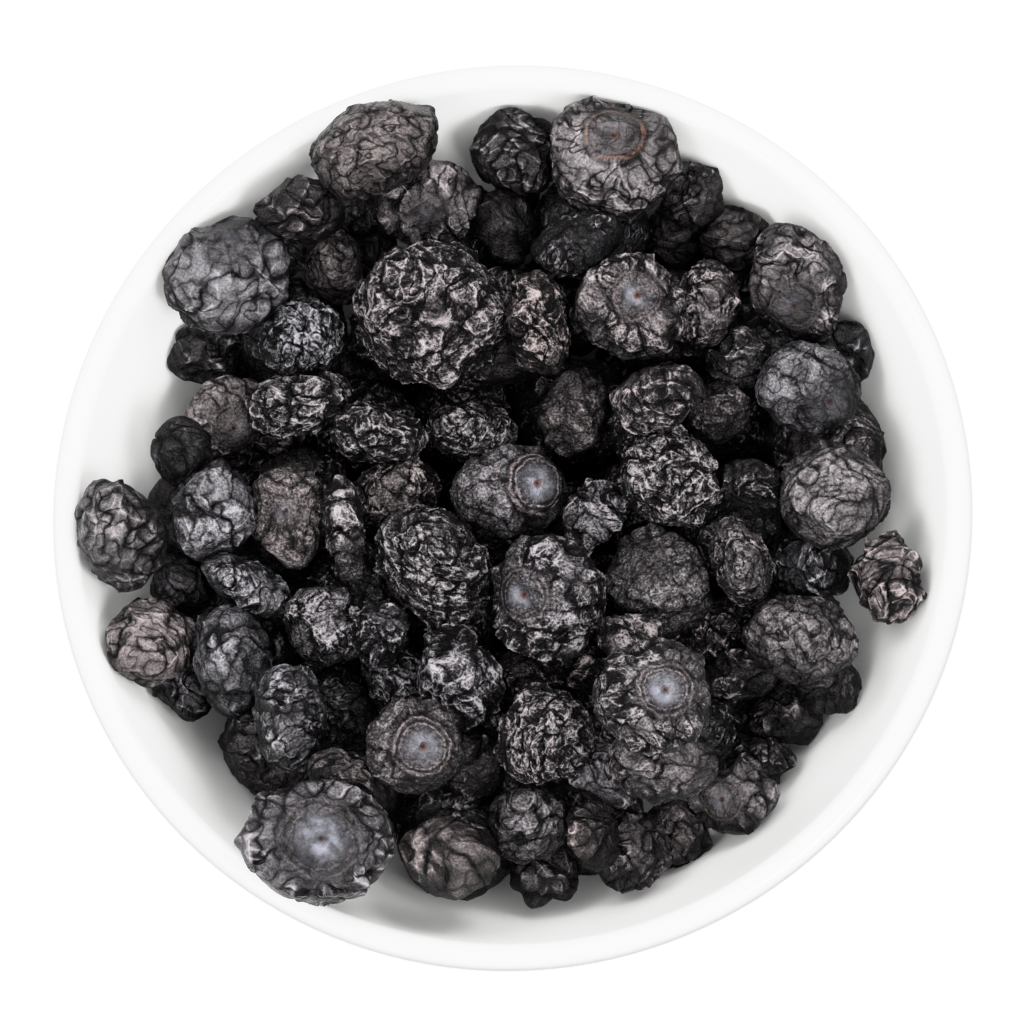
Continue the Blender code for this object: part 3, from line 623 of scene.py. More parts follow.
# The last few berries are small, and lie low in the outer gaps against their neighbours and the wall. Each
# goes with its nearest neighbour's group. Rows are a berry's middle and its half widths.
LOW_ONES = [
    ((13.6, 26.2, 25.0), (3.9, 3.2, 2.9)),
    ((19.1, 22.1, 24.0), (2.7, 2.4, 2.2)),
    ((-13.8, 28.4, 27.5), (2.6, 2.3, 2.2)),
    ((-0.1, 29.7, 24.6), (2.7, 2.3, 2.2)),
    ((-24.3, 15.1, 22.9), (2.6, 2.3, 2.1)),
    ((-10.3, -21.9, 18.5), (2.9, 2.7, 2.5)),
]
low_from = len(middle)
for low_middle, low_half in LOW_ONES:
    nearest = min(range(single, low_from), key=lambda index: np.linalg.norm(middle[index] - low_middle))
    for group in groups:
        if nearest in group:
            group.append(len(middle))
    middle = np.vstack([middle, low_middle])
    half = np.vstack([half, low_half])
    axes = np.concatenate([axes, axes[nearest:nearest + 1]])
    calyx = np.vstack([calyx, calyx[nearest]])
pairs = near_pairs(middle, half)
spread = spreads(half * PRESSED, axes)
across, gap = contacts(middle, spread, pairs)
parting = contact_planes(pairs, across, gap, spread)

# The form of a dried blueberry: the fruit has shrunk under its skin, so the ball has hollows between blunt
# ridges. Where berries press on each other they are flat, and at one end is the scar of the calyx.
HOLLOWS = 11
HOLLOW_BLUR = 0.16
HOLLOW_DEPTH = 0.15
SKIN_SWELL = 1.07
CALYX_RADIUS = 0.22
CALYX_UNSEEN = (0.25, 0.2, 0.3)
SMOOTHINGS = 12
CROWDING = 0.35
PLAIN_CRUMPLING = (0.45, 1.05)
FOLD_PITCHES = (0.8, 1.35)
TONE_SPREAD = 0.03
OUTER_FROM = 17.0
OUTERMOST = 32.0
OUTER_PLAINNESS = 0.4
OUTER_SOFTNESS = 0.6
# Berries in the gaps and underneath are painted darker: painted shade for their depth in the heap.
BENEATH_PAINTED_SHADE = 0.15
SMOOTH_ONES = {24: 0.15, 32: 0.2, 16: 0.2, 43: 0.35, 26: 0.3, 12: 0.45, 34: 0.4, 40: 0.6, 14: 0.5}
CRINKLED_ONES = {1: 1.1, 5: 1.25, 30: 1.1, 46: 1.1, 15: 1.1, 23: 1.1, 27: 1.0, 38: 1.0}
to_eye = sight_axes()[2]


def calyx_angle(half):
    """How wide the calyx ring stands round its axis, as an angle at the berry's middle."""
    return math.atan(CALYX_RADIUS * 2 * half[0] / half[1])


def held_off(radius, directions, parting):
    """Holds the skin back behind each plane, given as a direction and a distance from the berry's middle."""
    for across, distance in parting:
        towards = directions @ across
        limit = np.where(towards > 1e-3, distance / np.maximum(towards, 1e-3), np.inf)
        radius = np.minimum(radius, limit)
    return radius


def kept_in_bowl(radius, directions, middle):
    """Holds the skin back from the bowl's inside surface, by halving along each direction.

    The cavity is convex, so a face whose corners lie inside it lies inside it too.
    """
    low, high = np.zeros_like(radius), radius.copy()
    for _ in range(24):
        trial = (low + high) / 2
        point = middle + directions * trial[:, None]
        out = np.hypot(point[:, 0], point[:, 1])
        clear = point[:, 2] - cavity_height(out) > WALL_GAP * np.hypot(1, cavity_slope(out))
        low, high = np.where(clear, trial, low), np.where(clear, high, trial)
    return low


def ball(subdivisions):
    """The corners of a ball of triangles as unit directions, its faces, and each corner's neighbours."""
    form = bmesh.new()
    bmesh.ops.create_icosphere(form, subdivisions=subdivisions, radius=1.0)
    directions = unit(np.array([vertex.co for vertex in form.verts], dtype=float))
    faces = [[vertex.index for vertex in face.verts] for face in form.faces]
    beside = [[edge.other_vert(vertex).index for edge in vertex.link_edges] for vertex in form.verts]
    beside = np.array([(row + row)[:6] for row in beside])
    form.free()
    return directions, faces, beside


def berry_corners(form, index, centres):
    """Where a berry's corners lie before its skin wrinkles, in metres. There are more where it shows."""
    directions = unit(form[0] + CROWDING * to_eye)
    round_form = SKIN_SWELL / np.linalg.norm(directions @ axes[index].T / half[index], axis=1)
    nearest = np.sort(directions @ centres.T, axis=1)
    ridge = np.exp((nearest[:, -2] - nearest[:, -1]) / HOLLOW_BLUR)
    radius = round_form * (1 - HOLLOW_DEPTH * (1 - ridge))
    radius = held_off(radius, directions, parting[index])
    radius = kept_in_bowl(radius, directions, middle[index])
    for _ in range(SMOOTHINGS):
        radius = 0.5 * radius + 0.5 * radius[form[2]].mean(axis=1)
    return (middle[index] + directions * radius[:, None]) * METRES


def calyx_facts(index):
    """A berry's calyx in one row: seat, facing, the side that keeps its bloom, radius, bloom, ring, rust."""
    if calyx_row(index):
        x, y, radius, bloom, ring, rust, side = calyx_row(index)
        place = calyx_place(x, y, half[index], axes[index]) * half[index]
        seat = (middle[index] + place @ axes[index]) * METRES
        facing = unit((place / half[index] ** 2) @ axes[index])
        towards = np.zeros(3)
        if side is not None:
            right, up, _ = sight_axes()
            towards = math.cos(math.radians(side)) * right + math.sin(math.radians(side)) * up
        return [*seat, *facing, *towards, radius * METRES, bloom, ring, rust]
    distance = 1 / np.linalg.norm(calyx[index] @ axes[index].T / half[index])
    radius = distance * math.tan(calyx_angle(half[index]))
    seat = (middle[index] + calyx[index] * distance) * METRES
    return [*seat, *calyx[index], 0, 0, 0, radius * METRES, *CALYX_UNSEEN]


def smooth_berries(name, members):
    """One mesh of several smooth berries, whose corners know their own berry's calyx and number."""
    corners, faces, facts = [], [], []
    for index, form, centres in members:
        placed = berry_corners(form, index, centres)
        faces += [[corner + len(corners) for corner in face] for face in form[1]]
        corners += placed.tolist()
        random = np.random.default_rng(index)
        outer = (math.hypot(*middle[index][:2]) - OUTER_FROM) / (OUTERMOST - OUTER_FROM)
        outer = min(max(outer, 0), 1)
        crumpling = random.uniform(*PLAIN_CRUMPLING) * (1 - OUTER_PLAINNESS * outer)
        crumpling = {**SMOOTH_ONES, **CRINKLED_ONES}.get(index + 1, crumpling)
        # A random tone, and painted shade on the berries beneath the top ones.
        tone_and_depth_shade = random.uniform(-TONE_SPREAD, TONE_SPREAD) - (BENEATH_PAINTED_SHADE if index >= single else 0)
        row = [index, crumpling, random.uniform(*FOLD_PITCHES), tone_and_depth_shade, 1 - OUTER_SOFTNESS * outer]
        facts += [calyx_facts(index) + row] * len(placed)
    mesh = bpy.data.meshes.new(name)
    mesh.from_pydata(corners, [], faces)
    facts = np.array(facts)
    for column, label in enumerate(("calyx_seat", "calyx_facing", "calyx_side")):
        given = facts[:, 3 * column:3 * column + 3]
        mesh.attributes.new(label, "FLOAT_VECTOR", "POINT").data.foreach_set("vector", given.ravel())
    for column, label in enumerate((
        "calyx_radius", "calyx_bloom", "calyx_ring", "calyx_rust", "berry_number", "crumpling", "fold_pitch",
        "tone_and_depth_shade", "crispness",
    )):
        mesh.attributes.new(label, "FLOAT", "POINT").data.foreach_set("value", facts[:, 9 + column].copy())
    mesh.shade_smooth()
    return mesh


# The shrunken skin, as a tree: folds, wrinkles and puckers are the sharp crests of three noises, from
# coarse to fine, with narrow creases between them. They wind round the berry's ends, and the calyx keeps a
# smooth disc in a double ring, in the dish that its end of the berry has sunk to.
FOLD_SPACING = 0.0042
WRINKLE_SPACING = 0.0021
PUCKER_SPACING = 0.0011
FINE_SPACING = 0.00055
CREASE_SPACING = 0.0030
SLIT_SPACING = 0.0013
UNROUND_SPACING = 0.0026
CREASES_ASIDE = (0.011, 0.007, 0.003)
SLITS_ASIDE = (0.003, 0.013, 0.009)
MATH, VECTOR, REMAP = "ShaderNodeMath", "ShaderNodeVectorMath", "ShaderNodeMapRange"
PLUS, MINUS, TIMES = {"operation": "ADD"}, {"operation": "SUBTRACT"}, {"operation": "MULTIPLY"}
OVER, TIMES_PLUS, SCALED = {"operation": "DIVIDE"}, {"operation": "MULTIPLY_ADD"}, {"operation": "SCALE"}
SMOOTH = {"interpolation_type": "SMOOTHSTEP"}
# REMAP's inputs are a value, the ends of the range that it comes from, and those of the range it goes to.


def crest_lines(tree, place, pitch, sharpness):
    """Adds the sharp crests of a noise: 1 along winding lines, falling off on both sides of them."""
    crest = add(tree, NOISE, {}, {"Vector": place, "Scale": pitch, "Detail": 0.0})
    for operation, value in (
        ("SUBTRACT", 0.5), ("ABSOLUTE", 0.0), ("MULTIPLY", -sharpness), ("EXPONENT", 0.0),
    ):
        crest = add(tree, MATH, {"operation": operation}, [crest, value])
    return crest


def band(tree, distance, at, width):
    """Adds a rounded band: 1 where the distance is as given, and none a few widths off."""
    for operation, value in (
        ("SUBTRACT", at), ("DIVIDE", width), ("POWER", 2.0), ("MULTIPLY", -1.0), ("EXPONENT", 0.0),
    ):
        distance = add(tree, MATH, {"operation": operation}, [distance, value])
    return distance


def calyx_distances(tree, place, facts):
    """Adds how far a point lies along the calyx's axis, how far aside from it, and that in radii of the ring.

    The far end of the berry counts as many radii off, so that there is no second calyx on it. The last two
    are how far the ring strays from round, and the radii with that in them.
    """
    from_seat = add(tree, VECTOR, MINUS, [place, facts["calyx_seat"]])
    along = add(tree, VECTOR, {"operation": "DOT_PRODUCT"}, [from_seat, facts["calyx_facing"]], "Value")
    axial = add(tree, VECTOR, SCALED, {0: facts["calyx_facing"], "Scale": along})
    beside = add(tree, VECTOR, MINUS, [from_seat, axial])
    aside = add(tree, VECTOR, {"operation": "LENGTH"}, [beside], "Value")
    behind = add(tree, MATH, {"operation": "LESS_THAN"}, [along, -0.0025])
    rings = add(tree, MATH, OVER, [aside, facts["calyx_radius"]])
    rings = add(tree, MATH, TIMES_PLUS, [behind, 9.0, rings])
    unround = add(tree, NOISE, {}, {"Vector": place, "Scale": 1 / UNROUND_SPACING, "Detail": 1.0})
    unround = add(tree, MATH, MINUS, [unround, 0.5])
    ring_place = add(tree, MATH, TIMES_PLUS, [unround, 0.35, rings])
    return along, aside, rings, unround, ring_place


skin_tree = bpy.data.node_groups.new("shrunken_skin", "GeometryNodeTree")
tree = skin_tree
sizes = {
    "Fold spacing": FOLD_SPACING, "Fold height": 0.00062,
    "Wrinkle spacing": WRINKLE_SPACING, "Wrinkle height": 0.00028,
    "Pucker spacing": PUCKER_SPACING, "Pucker height": 0.00014,
    "Crease spacing": CREASE_SPACING, "Crease depth": 0.00028,
    "Warp": 0.0026, "Dish depth": 0.00060, "Collar height": 0.00040, "Ring height": 0.00028,
    "Disc depth": 0.00030, "Pit depth": 0.00030,
}
tree.interface.new_socket("Geometry", in_out="INPUT", socket_type="NodeSocketGeometry")
for name, size in sizes.items():
    tree.interface.new_socket(name, in_out="INPUT", socket_type="NodeSocketFloat").default_value = size
for name, whole in (("Subdivisions", 1), ("Seed", 3)):
    tree.interface.new_socket(name, in_out="INPUT", socket_type="NodeSocketInt").default_value = whole
tree.interface.new_socket("Skin", in_out="INPUT", socket_type="NodeSocketMaterial")
tree.interface.new_socket("Geometry", in_out="OUTPUT", socket_type="NodeSocketGeometry")
given = tree.nodes.new("NodeGroupInput").outputs

place = add(tree, "GeometryNodeInputPosition", {}, {})
facts = {}
for label, kind in (
    ("calyx_seat", "FLOAT_VECTOR"), ("calyx_facing", "FLOAT_VECTOR"), ("calyx_radius", "FLOAT"),
    ("calyx_ring", "FLOAT"), ("berry_number", "FLOAT"), ("crumpling", "FLOAT"), ("fold_pitch", "FLOAT"),
):
    facts[label] = add(tree, "GeometryNodeInputNamedAttribute", {"data_type": kind}, {"Name": label})
number, crumpling = facts["berry_number"], facts["crumpling"]

along, aside, rings, unround, ring_place = calyx_distances(tree, place, facts)
collar_place = add(tree, MATH, TIMES_PLUS, [unround, 1.6, rings])

# The noises' own place. On some berries it is squeezed round the axis, so that folds run in rings, on
# others along it, so that they run from end to end. Each berry's is its own, and stirred so that crests wind.
ringed = {2: -0.45, 3: 0.75, "ID": number, "Seed": given["Seed"]}
ringed = add(tree, "FunctionNodeRandomValue", {"data_type": "FLOAT"}, ringed, 1)
outwards = add(tree, MATH, PLUS, [along, aside])
outwards = add(tree, MATH, TIMES, [outwards, ringed])
stretch = add(tree, VECTOR, SCALED, {0: facts["calyx_facing"], "Scale": outwards})
stretched = add(tree, VECTOR, PLUS, [place, stretch])
apart = add(tree, VECTOR, SCALED, {0: (0.037, 0.021, 0.053), "Scale": number})
own = add(tree, VECTOR, PLUS, [stretched, apart])
own = add(tree, VECTOR, SCALED, {0: own, "Scale": facts["fold_pitch"]})
stir = add(tree, NOISE, {}, {"Vector": own, "Scale": 1 / 0.0032, "Detail": 2.0}, "Color")
stir = add(tree, VECTOR, MINUS, [stir, (0.5, 0.5, 0.5)])
stir = add(tree, VECTOR, SCALED, {0: stir, "Scale": given["Warp"]})
stirred = add(tree, VECTOR, PLUS, [own, stir])

# The height of the skin over the smooth berry. Some patches are crumpled and some stay nearly smooth,
# except on the berries that are crinkled all over, and there is none of it on the calyx.
patch = add(tree, NOISE, {}, {"Vector": own, "Scale": 1 / 0.0040, "Detail": 1.0})
least = add(tree, MATH, TIMES_PLUS, [crumpling, 4.0, -3.6])
for operation, limit in (("MAXIMUM", 0.15), ("MINIMUM", 1.0)):
    least = add(tree, MATH, {"operation": operation}, [least, limit])
crumpled = add(tree, REMAP, SMOOTH, [patch, 0.40, 0.52, least, crumpling])
folded = add(tree, MATH, TIMES_PLUS, [crumpling, 0.5, 0.5])
crinkled = add(tree, MATH, TIMES_PLUS, [crumpling, -2.0, 3.0])
folded = add(tree, MATH, {"operation": "MINIMUM"}, [folded, crinkled])
height = 0.0
for label, sharpness, mean, share in (
    ("Fold", 10.0, 0.36, folded), ("Wrinkle", 9.0, 0.38, crumpled), ("Pucker", 8.0, 0.4, crumpled),
):
    pitch = add(tree, MATH, OVER, [1.0, given[f"{label} spacing"]])
    raised = add(tree, MATH, MINUS, [crest_lines(tree, stirred, pitch, sharpness), mean])
    raised = add(tree, MATH, TIMES, [raised, given[f"{label} height"]])
    height = add(tree, MATH, TIMES_PLUS, [raised, share, height])
pitch = add(tree, MATH, OVER, [1.0, given["Crease spacing"]])
crease = crest_lines(tree, add(tree, VECTOR, PLUS, [stirred, CREASES_ASIDE]), pitch, 18.0)
crease = add(tree, MATH, TIMES, [crease, given["Crease depth"]])
height = add(tree, MATH, MINUS, [height, crease])
away = add(tree, REMAP, SMOOTH, [ring_place, 1.05, 1.8])
height = add(tree, MATH, TIMES, [height, away])
height = add(tree, MATH, OVER, [height, facts["fold_pitch"]])

# The calyx: a dish with a blunt collar, a double ring, and a disc with a pit in its middle.
dish = add(tree, REMAP, SMOOTH, [ring_place, 1.2, 2.2, -1.0, 0.0])
disc = add(tree, REMAP, SMOOTH, [ring_place, 0.2, 1.0, -1.0, 0.0])
ring_height = add(tree, MATH, TIMES, [given["Ring height"], facts["calyx_ring"]])
inner_ring = add(tree, MATH, TIMES, [band(tree, ring_place, 0.84, 0.07), ring_height])
pit = add(tree, MATH, TIMES, [band(tree, rings, 0.0, 0.16), given["Pit depth"]])
for shape, amount in (
    (band(tree, collar_place, 2.1, 0.28), given["Collar height"]), (dish, given["Dish depth"]),
    (band(tree, ring_place, 1.08, 0.10), ring_height), (inner_ring, 0.6),
    (disc, given["Disc depth"]), (pit, -1.0),
):
    height = add(tree, MATH, TIMES_PLUS, [shape, amount, height])
facing = add(tree, "GeometryNodeInputNormal", {}, {})
lift = add(tree, VECTOR, SCALED, {0: facing, "Scale": height})

skin = add(tree, "GeometryNodeSubdivisionSurface", {}, [given["Geometry"], given["Subdivisions"]])
# The share of the skin that faces up, kept for the painted shade on the skin's underside.
upward = add(tree, "ShaderNodeSeparateXYZ", {}, [facing], "Z")
for label, kind, value in (
    ("skin_place", "FLOAT_VECTOR", stirred), ("crumpled", "FLOAT", crumpled), ("upward", "FLOAT", upward),
):
    stored = {"Geometry": skin, "Name": label, "Value": value}
    skin = add(tree, "GeometryNodeStoreNamedAttribute", {"data_type": kind, "domain": "POINT"}, stored)
skin = add(tree, "GeometryNodeSetPosition", {}, {"Geometry": skin, "Offset": lift})
skin = add(tree, "GeometryNodeRealizeInstances", {}, {"Geometry": skin})
skin = add(tree, "GeometryNodeSetMaterial", {}, {"Geometry": skin, "Material": given["Skin"]})
tree.links.new(skin, tree.nodes.new("NodeGroupOutput").inputs[0])

# Dried berry skin: blue-black, and browner on some berries. Rubbing brings a grey bloom of wax out along the
# crests, and their light lines are in part a painted highlight; the black creases are painted shade. The wax
# gives a soft gloss. The calyx's disc keeps its bloom, blue-grey and smooth, in a ring of two fine lines,
# pinkish or rusty. Its pit is black in a reddish scar.
berry_skin, tree, shader = new_material("dried_berry_skin", {"IOR": 1.42, "Specular IOR Level": 0.1})
place = add(tree, "ShaderNodeTexCoord", {}, {}, "Object")
facts = {}
for label, output in (
    ("skin_place", "Vector"), ("crumpled", "Fac"), ("crispness", "Fac"), ("tone_and_depth_shade", "Fac"), ("upward", "Fac"),
    ("calyx_seat", "Vector"), ("calyx_facing", "Vector"), ("calyx_side", "Vector"), ("calyx_radius", "Fac"),
    ("calyx_bloom", "Fac"), ("calyx_ring", "Fac"), ("calyx_rust", "Fac"), ("berry_number", "Fac"),
):
    facts[label] = add(tree, "ShaderNodeAttribute", {"attribute_name": label}, {}, output)
skin_place, crispness = facts["skin_place"], facts["crispness"]
_, _, rings, unround, ring_place = calyx_distances(tree, place, facts)
away = add(tree, REMAP, SMOOTH, [ring_place, 1.1, 1.5])
grain = add(tree, NOISE, {}, {"Vector": place, "Scale": 1 / 0.00024, "Detail": 1.0, "Roughness": 0.7})
noises = {}
for label, spacing, detail in (
    ("rubbed", 0.0020, 1.0), ("mottled", 0.0009, 2.0), ("wavering", 0.0008, 0.0), ("worn", 0.0013, 1.0),
):
    noises[label] = add(tree, NOISE, {}, {"Vector": place, "Scale": 1 / spacing, "Detail": detail})

# How light the skin is. Each crest is a thin light line, wax and a painted highlight, between darker flanks
# that are painted shade, and on top of the puckers lies a fine crinkle, fainter on the outer berries. Smooth
# patches are plain grey, and so is the calyx. The creases and the narrow slits between the puckers are
# painted black, as painted shade, and so are the grooves round the calyx's ring. Skin that faces down is
# painted darker, and skin that faces up a little lighter, as painted shade and light.
rough = 0.65
# Painted highlight and shade: each crest adds a thin light line and takes off a wider dark band beside it.
for strength, mean, kinds in (
    (1.0, 0.0, ((FOLD_SPACING, 55.0, 0.40, 14.0, -0.14), (WRINKLE_SPACING, 34.0, 0.44, 10.0, -0.18))),
    (crispness, -0.13, ((PUCKER_SPACING, 18.0, 0.42, 7.0, -0.14), (FINE_SPACING, 13.0, 0.42, 5.0, -0.22))),
):
    lines = mean
    for spacing, thin, light, wide, dark in kinds:
        for sharpness, amount in ((thin, light), (wide, dark)):
            crest = crest_lines(tree, skin_place, 1 / spacing, sharpness)
            lines = add(tree, MATH, TIMES_PLUS, [crest, amount, lines])
    rough = add(tree, MATH, TIMES_PLUS, [lines, strength, rough])
smooth_patch = add(tree, REMAP, SMOOTH, [facts["crumpled"], 0.2, 0.75, 0.8, 0.0])
on_calyx = add(tree, MATH, MINUS, [1.0, away])
calm = add(tree, MATH, {"operation": "MAXIMUM"}, [smooth_patch, on_calyx])
level = add(tree, MIX, {"data_type": "FLOAT"}, {"Factor": calm, "A": rough, "B": 0.50}, "Result")
speckled = add(tree, REMAP, {}, [calm, 0.0, 1.0, 0.9, 0.6])
speckled = add(tree, MATH, TIMES, [speckled, crispness])
off = add(tree, MATH, MINUS, [grain, 0.5])
# Painted shade and light: skin facing down is darker, skin facing up a little lighter.
upward = add(tree, REMAP, {}, [facts["upward"], 0.0, 1.0, -0.15, 0.06])
# Painted shade: dark bands in the grooves outside the calyx's ring and between its two lines.
painted_groove_shade = add(tree, MATH, PLUS, [band(tree, ring_place, 1.22, 0.07), band(tree, ring_place, 0.96, 0.05)])
painted_groove_shade = add(tree, MATH, TIMES, [painted_groove_shade, facts["calyx_ring"]])
for part, amount in ((off, speckled), (away, 0.07), (facts["tone_and_depth_shade"], 1.0), (upward, 1.0), (painted_groove_shade, -0.14)):
    level = add(tree, MATH, TIMES_PLUS, [part, amount, level])
open_skin = add(tree, REMAP, {}, [calm, 0.0, 1.0, 1.0, 0.25])
# Painted shade: the creases and slits are painted black, most where the skin is crumpled.
for spacing, aside_by, sharpness, dark in (
    (CREASE_SPACING, CREASES_ASIDE, 36.0, -0.60), (SLIT_SPACING, SLITS_ASIDE, 22.0, -0.45),
):
    painted_crease_shade = crest_lines(tree, add(tree, VECTOR, PLUS, [skin_place, aside_by]), 1 / spacing, sharpness)
    painted_crease_shade = add(tree, MATH, TIMES, [painted_crease_shade, open_skin])
    level = add(tree, MATH, TIMES_PLUS, [painted_crease_shade, dark, level])
rubbed = add(tree, REMAP, SMOOTH, [noises["rubbed"], 0.36, 0.64, -0.02, 0.03])
# The wax share, with the painted highlights and painted shade of the level in it.
wax_and_painted_light = add(tree, MATH, PLUS, [level, rubbed])
wax_and_painted_light = add(tree, MATH, TIMES_PLUS, [wax_and_painted_light, -12.5, 8.75])
wax_and_painted_light = add(tree, MATH, {"operation": "EXPONENT"}, [wax_and_painted_light])
wax_and_painted_light = add(tree, MATH, OVER, [1.0, add(tree, MATH, PLUS, [wax_and_painted_light, 1.0])])
kind = add(tree, "ShaderNodeTexWhiteNoise", {"noise_dimensions": "1D"}, {"W": facts["berry_number"]})
wax = add(tree, MIX, COLOURS, {"Factor": kind, "A": linear("#96949a"), "B": linear("#a09392")}, "Result")

# The calyx's disc: its bloom is mottled, and on some berries one side alone has kept it.
disc = add(tree, REMAP, SMOOTH, [ring_place, 0.2, 0.85, 1.0, 0.0])
mottled = add(tree, REMAP, {}, [noises["mottled"], 0.38, 0.62, 0.3, 1.1])
from_seat = add(tree, VECTOR, MINUS, [place, facts["calyx_seat"]])
kept = add(tree, VECTOR, {"operation": "DOT_PRODUCT"}, [from_seat, facts["calyx_side"]], "Value")
kept = add(tree, MATH, OVER, [kept, facts["calyx_radius"]])
kept = add(tree, MATH, TIMES_PLUS, [unround, 1.4, kept])
kept = add(tree, REMAP, SMOOTH, [kept, -0.45, 0.15, 0.12, 1.0])
for share in (facts["calyx_bloom"], kept, mottled):
    disc = add(tree, MATH, TIMES, [disc, share])
disc = add(tree, MATH, {"operation": "MINIMUM"}, [disc, 1.0])

# Its ring: an outer and an inner line, worn here and there, and the inner one faint where they are rusty.
# Its scar is red only where the ring is rusty and the bloom is left.
line_place = add(tree, MATH, TIMES_PLUS, [noises["wavering"], 0.16, ring_place])
inner = add(tree, MATH, TIMES_PLUS, [facts["calyx_rust"], -0.9, 1.0])
inner = add(tree, MATH, TIMES, [band(tree, line_place, 0.94, 0.030), inner])
lines = add(tree, MATH, PLUS, [band(tree, line_place, 1.15, 0.042), inner])
worn = add(tree, REMAP, SMOOTH, [noises["worn"], 0.38, 0.58, 0.25, 1.0])
speck = add(tree, REMAP, {}, [grain, 0.34, 0.60, 0.10, 1.0])
for share in (worn, speck, facts["calyx_ring"]):
    lines = add(tree, MATH, TIMES, [lines, share])
rusty = add(tree, MATH, TIMES, [facts["calyx_rust"], facts["calyx_rust"]])
pinkish, rust = linear("#a2969a"), linear("#96694f")
ring_tone = add(tree, MIX, COLOURS, {"Factor": rusty, "A": pinkish, "B": rust}, "Result")
scar = band(tree, rings, 0.13, 0.05)
for share in (facts["calyx_rust"], facts["calyx_bloom"], 2.5):
    scar = add(tree, MATH, TIMES, [scar, share])
scar = add(tree, MATH, {"operation": "MINIMUM"}, [scar, 1.0])

# Each lies over the one before: wax on the black skin, the disc, the ring's lines, the scar and the pit.
tone = linear("#040304")
for share, colour in (
    (wax_and_painted_light, wax), (disc, linear("#7b7c85")), (lines, ring_tone), (scar, linear("#6c443c")),
    (band(tree, rings, 0.0, 0.13), linear("#1f0f0d")),
):
    tone = add(tree, MIX, COLOURS, {"Factor": share, "A": tone, "B": colour}, "Result")
tree.links.new(tone, shader["Base Color"])
sheen = add(tree, REMAP, {}, [grain, 0.0, 1.0, 0.34, 0.56])
tree.links.new(sheen, shader["Roughness"])
relief = add(tree, MATH, TIMES_PLUS, [level, 2.0, grain])
bump = add(tree, "ShaderNodeBump", {}, {"Height": relief, "Strength": 0.9, "Distance": 0.00016})
tree.links.new(bump, shader["Normal"])


# A triangle of the ball becomes three four-sided faces, which is six triangles.
TRIANGLES_FROM_ONE = 6


def shrunken(name, members, target):
    """A finished piece of one or more berries: the tree run on them, and thinned where the skin is plain."""
    base = set_out(name + "_base", smooth_berries(name + "_base", members))
    skin = base.modifiers.new("skin", "NODES")
    skin.node_group = skin_tree
    for item in skin_tree.interface.items_tree:
        if item.name == "Skin":
            skin[item.identifier] = berry_skin
    thin = base.modifiers.new("thinned", "DECIMATE")
    before = sum(len(form[1]) for _, form, _ in members) * TRIANGLES_FROM_ONE
    thin.ratio = min(1.0, target / before)
    mesh = finished_mesh(base)
    mesh.name = name
    mesh.shade_smooth()
    piece = set_out(name, mesh)
    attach(piece, "root")
    return piece


# The berries on top: one piece each, which stands for its own solid.
TOP_TRIANGLES = 11500
GAP_TRIANGLES = 7500
FILL_TRIANGLES = 500
fine_ball, coarse_ball = ball(5), ball(3)
for index in range(single):
    centres = unit(draw.normal(size=(HOLLOWS, 3)))
    piece = shrunken(f"dried_berry_{index + 1:02d}", [(index, fine_ball, centres)], TOP_TRIANGLES)
    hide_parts(f"berry_{index + 1:02d}")

# The berries in the gaps and underneath: a piece for each group, since their solids are fused so.
low_draw = np.random.default_rng(FILL_SEED + 1)
for number, group in enumerate(groups):
    members = []
    for index in group:
        centres = unit((draw if index < low_from else low_draw).normal(size=(HOLLOWS, 3)))
        members.append((index, fine_ball if index < shown else coarse_ball, centres))
    target = sum(GAP_TRIANGLES if index < shown else FILL_TRIANGLES for index in group)
    piece = shrunken(f"dried_berries_beneath_{number + 1}", members, target)
    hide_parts(f"berries_beneath_{number + 1}")

# The floor: a white sheet, far wider than the bowl. It glows, so that it takes no shadow, and is kept from
# lighting the bowl from below, so that the edge of the lip stands out against it.
floor_mesh = bpy.data.meshes.new("white_floor")
floor_mesh.from_pydata([(-3, -3, 0), (3, -3, 0), (3, 3, 0), (-3, 3, 0)], [], [(0, 1, 2, 3)])
floor = set_out("white_floor", floor_mesh)
sheet, tree, shader = new_material("lit_white_sheet", {
    "Base Color": linear("#f2f2f2"), "Roughness": 0.9,
    "Emission Color": (1, 1, 1, 1), "Emission Strength": 2.0,
})
floor_mesh.materials.append(sheet)
floor.visible_diffuse = False

# Light: a tent that is bright half-way up, dim overhead, where the camera looks in, and dark low down, and
# four soft lamps high about the bowl, the strongest on the lower right.
TENT_BRIGHTNESS = 3.4
world = bpy.data.worlds.new("pale_tent")
world.use_nodes = True
tree = world.node_tree
towards = add(tree, "ShaderNodeTexCoord", {}, {}, "Generated")
overhead = add(tree, "ShaderNodeSeparateXYZ", {}, {"Vector": towards}, "Z")
dim_above = add(tree, REMAP, SMOOTH, [overhead, 0.65, 0.95, 1.0, 0.3])
dim_below = add(tree, REMAP, SMOOTH, [overhead, 0.35, 0.55, 0.04, 1.0])
glow = add(tree, MATH, TIMES, [dim_above, dim_below])
glow = add(tree, MATH, TIMES, [glow, TENT_BRIGHTNESS])
tree.links.new(glow, tree.nodes["Background"].inputs["Strength"])
tree.nodes["Background"].inputs["Color"].default_value = (1, 1, 1, 1)
bpy.context.scene.world = world
LAMP_DISTANCE = 0.8
LAMP_WIDTH = 0.32
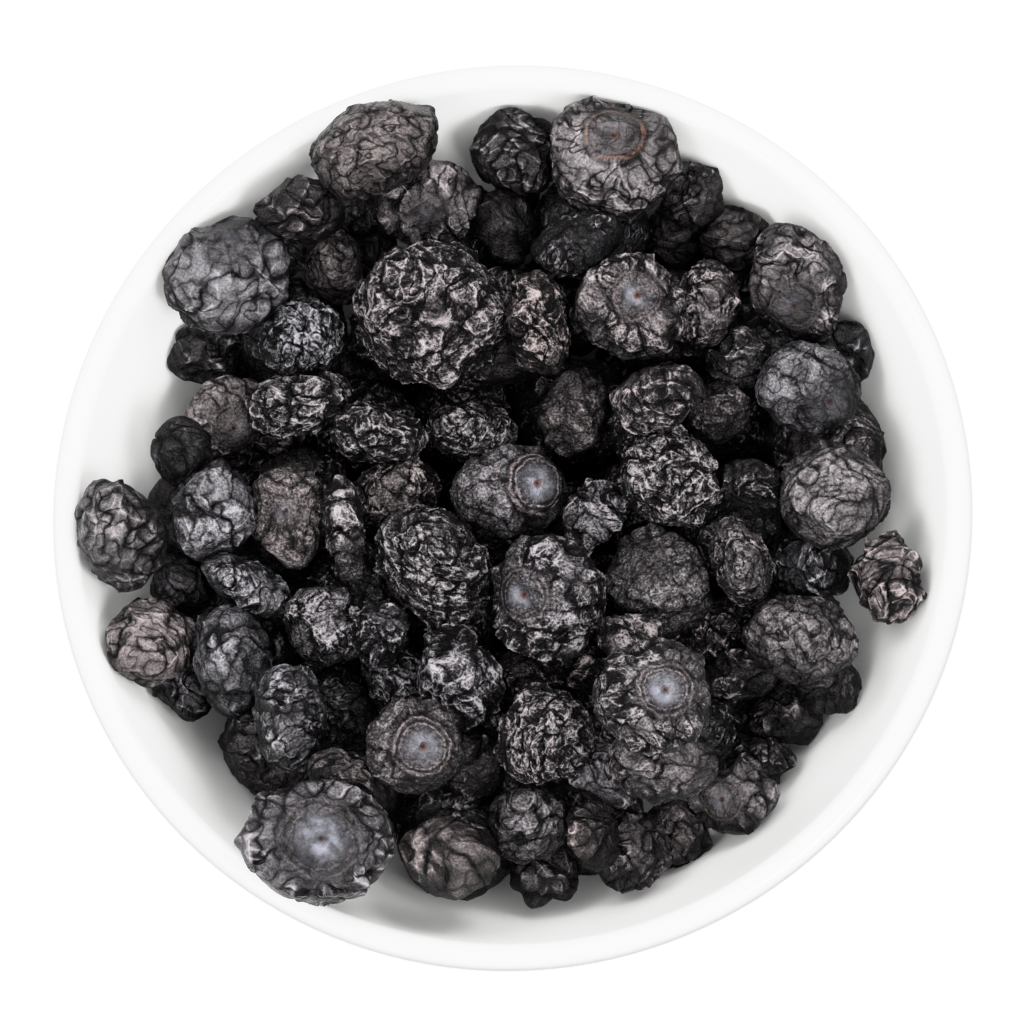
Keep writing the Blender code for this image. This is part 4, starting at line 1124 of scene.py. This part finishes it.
for side, rise, power in ((-40, 50, 4.0), (50, 50, 2.0), (140, 50, 1.4), (-130, 50, 2.4)):
    lamp_data = bpy.data.lights.new("soft_lamp", "AREA")
    lamp_data.shape = "DISK"
    lamp_data.size = LAMP_WIDTH
    lamp_data.energy = power
    lamp = set_out("soft_lamp", lamp_data)
    side, rise = math.radians(side), math.radians(rise)
    aim = Vector((math.cos(side) * math.cos(rise), math.sin(side) * math.cos(rise), math.sin(rise)))
    lamp.location = aim * LAMP_DISTANCE
    lamp.rotation_euler = aim.to_track_quat("Z", "Y").to_euler()

# The camera looks down along the line of sight that the table was read by, from far off through a long lens.
EYE_DISTANCE = 2.0
MM_PER_PIXEL = 0.0866739
PICTURE_WIDTH = 1024
LOOKED_AT_PIXELS = (0.6, 2.3)
SENSOR_WIDTH = 36.0
right, up, eye = sight_axes()
camera_data = bpy.data.cameras.new("camera")
camera_data.sensor_width = SENSOR_WIDTH
camera_data.lens = SENSOR_WIDTH * EYE_DISTANCE / (PICTURE_WIDTH * MM_PER_PIXEL * METRES)
camera_data.clip_end = 20.0
camera = set_out("camera", camera_data)
looked_at = RIM_CENTRE + (right * LOOKED_AT_PIXELS[0] + up * LOOKED_AT_PIXELS[1]) * MM_PER_PIXEL
stand = Vector(looked_at * METRES) + Vector(eye) * EYE_DISTANCE
camera.matrix_world = Matrix.Translation(stand) @ Matrix(np.column_stack([right, up, eye]).tolist()).to_4x4()
bpy.context.scene.camera = camera

# The picture is bright, with the bowl's white held just short of the sheet's: a curve eases in the
# highlights.
BRIGHTEST = 3.4
view = bpy.context.scene.view_settings
view.view_transform = "Standard"
view.use_curve_mapping = True
view.curve_mapping.white_level = (BRIGHTEST, BRIGHTEST, BRIGHTEST)
shoulder = view.curve_mapping.curves[3]
for brightness, shown_as in (
    (0.25, 0.25), (0.5, 0.5), (0.7, 0.69), (0.9, 0.80), (1.2, 0.88), (1.8, 0.935), (2.5, 0.955), (2.9, 0.97),
):
    shoulder.points.new(brightness / BRIGHTEST, shown_as)
view.curve_mapping.update()
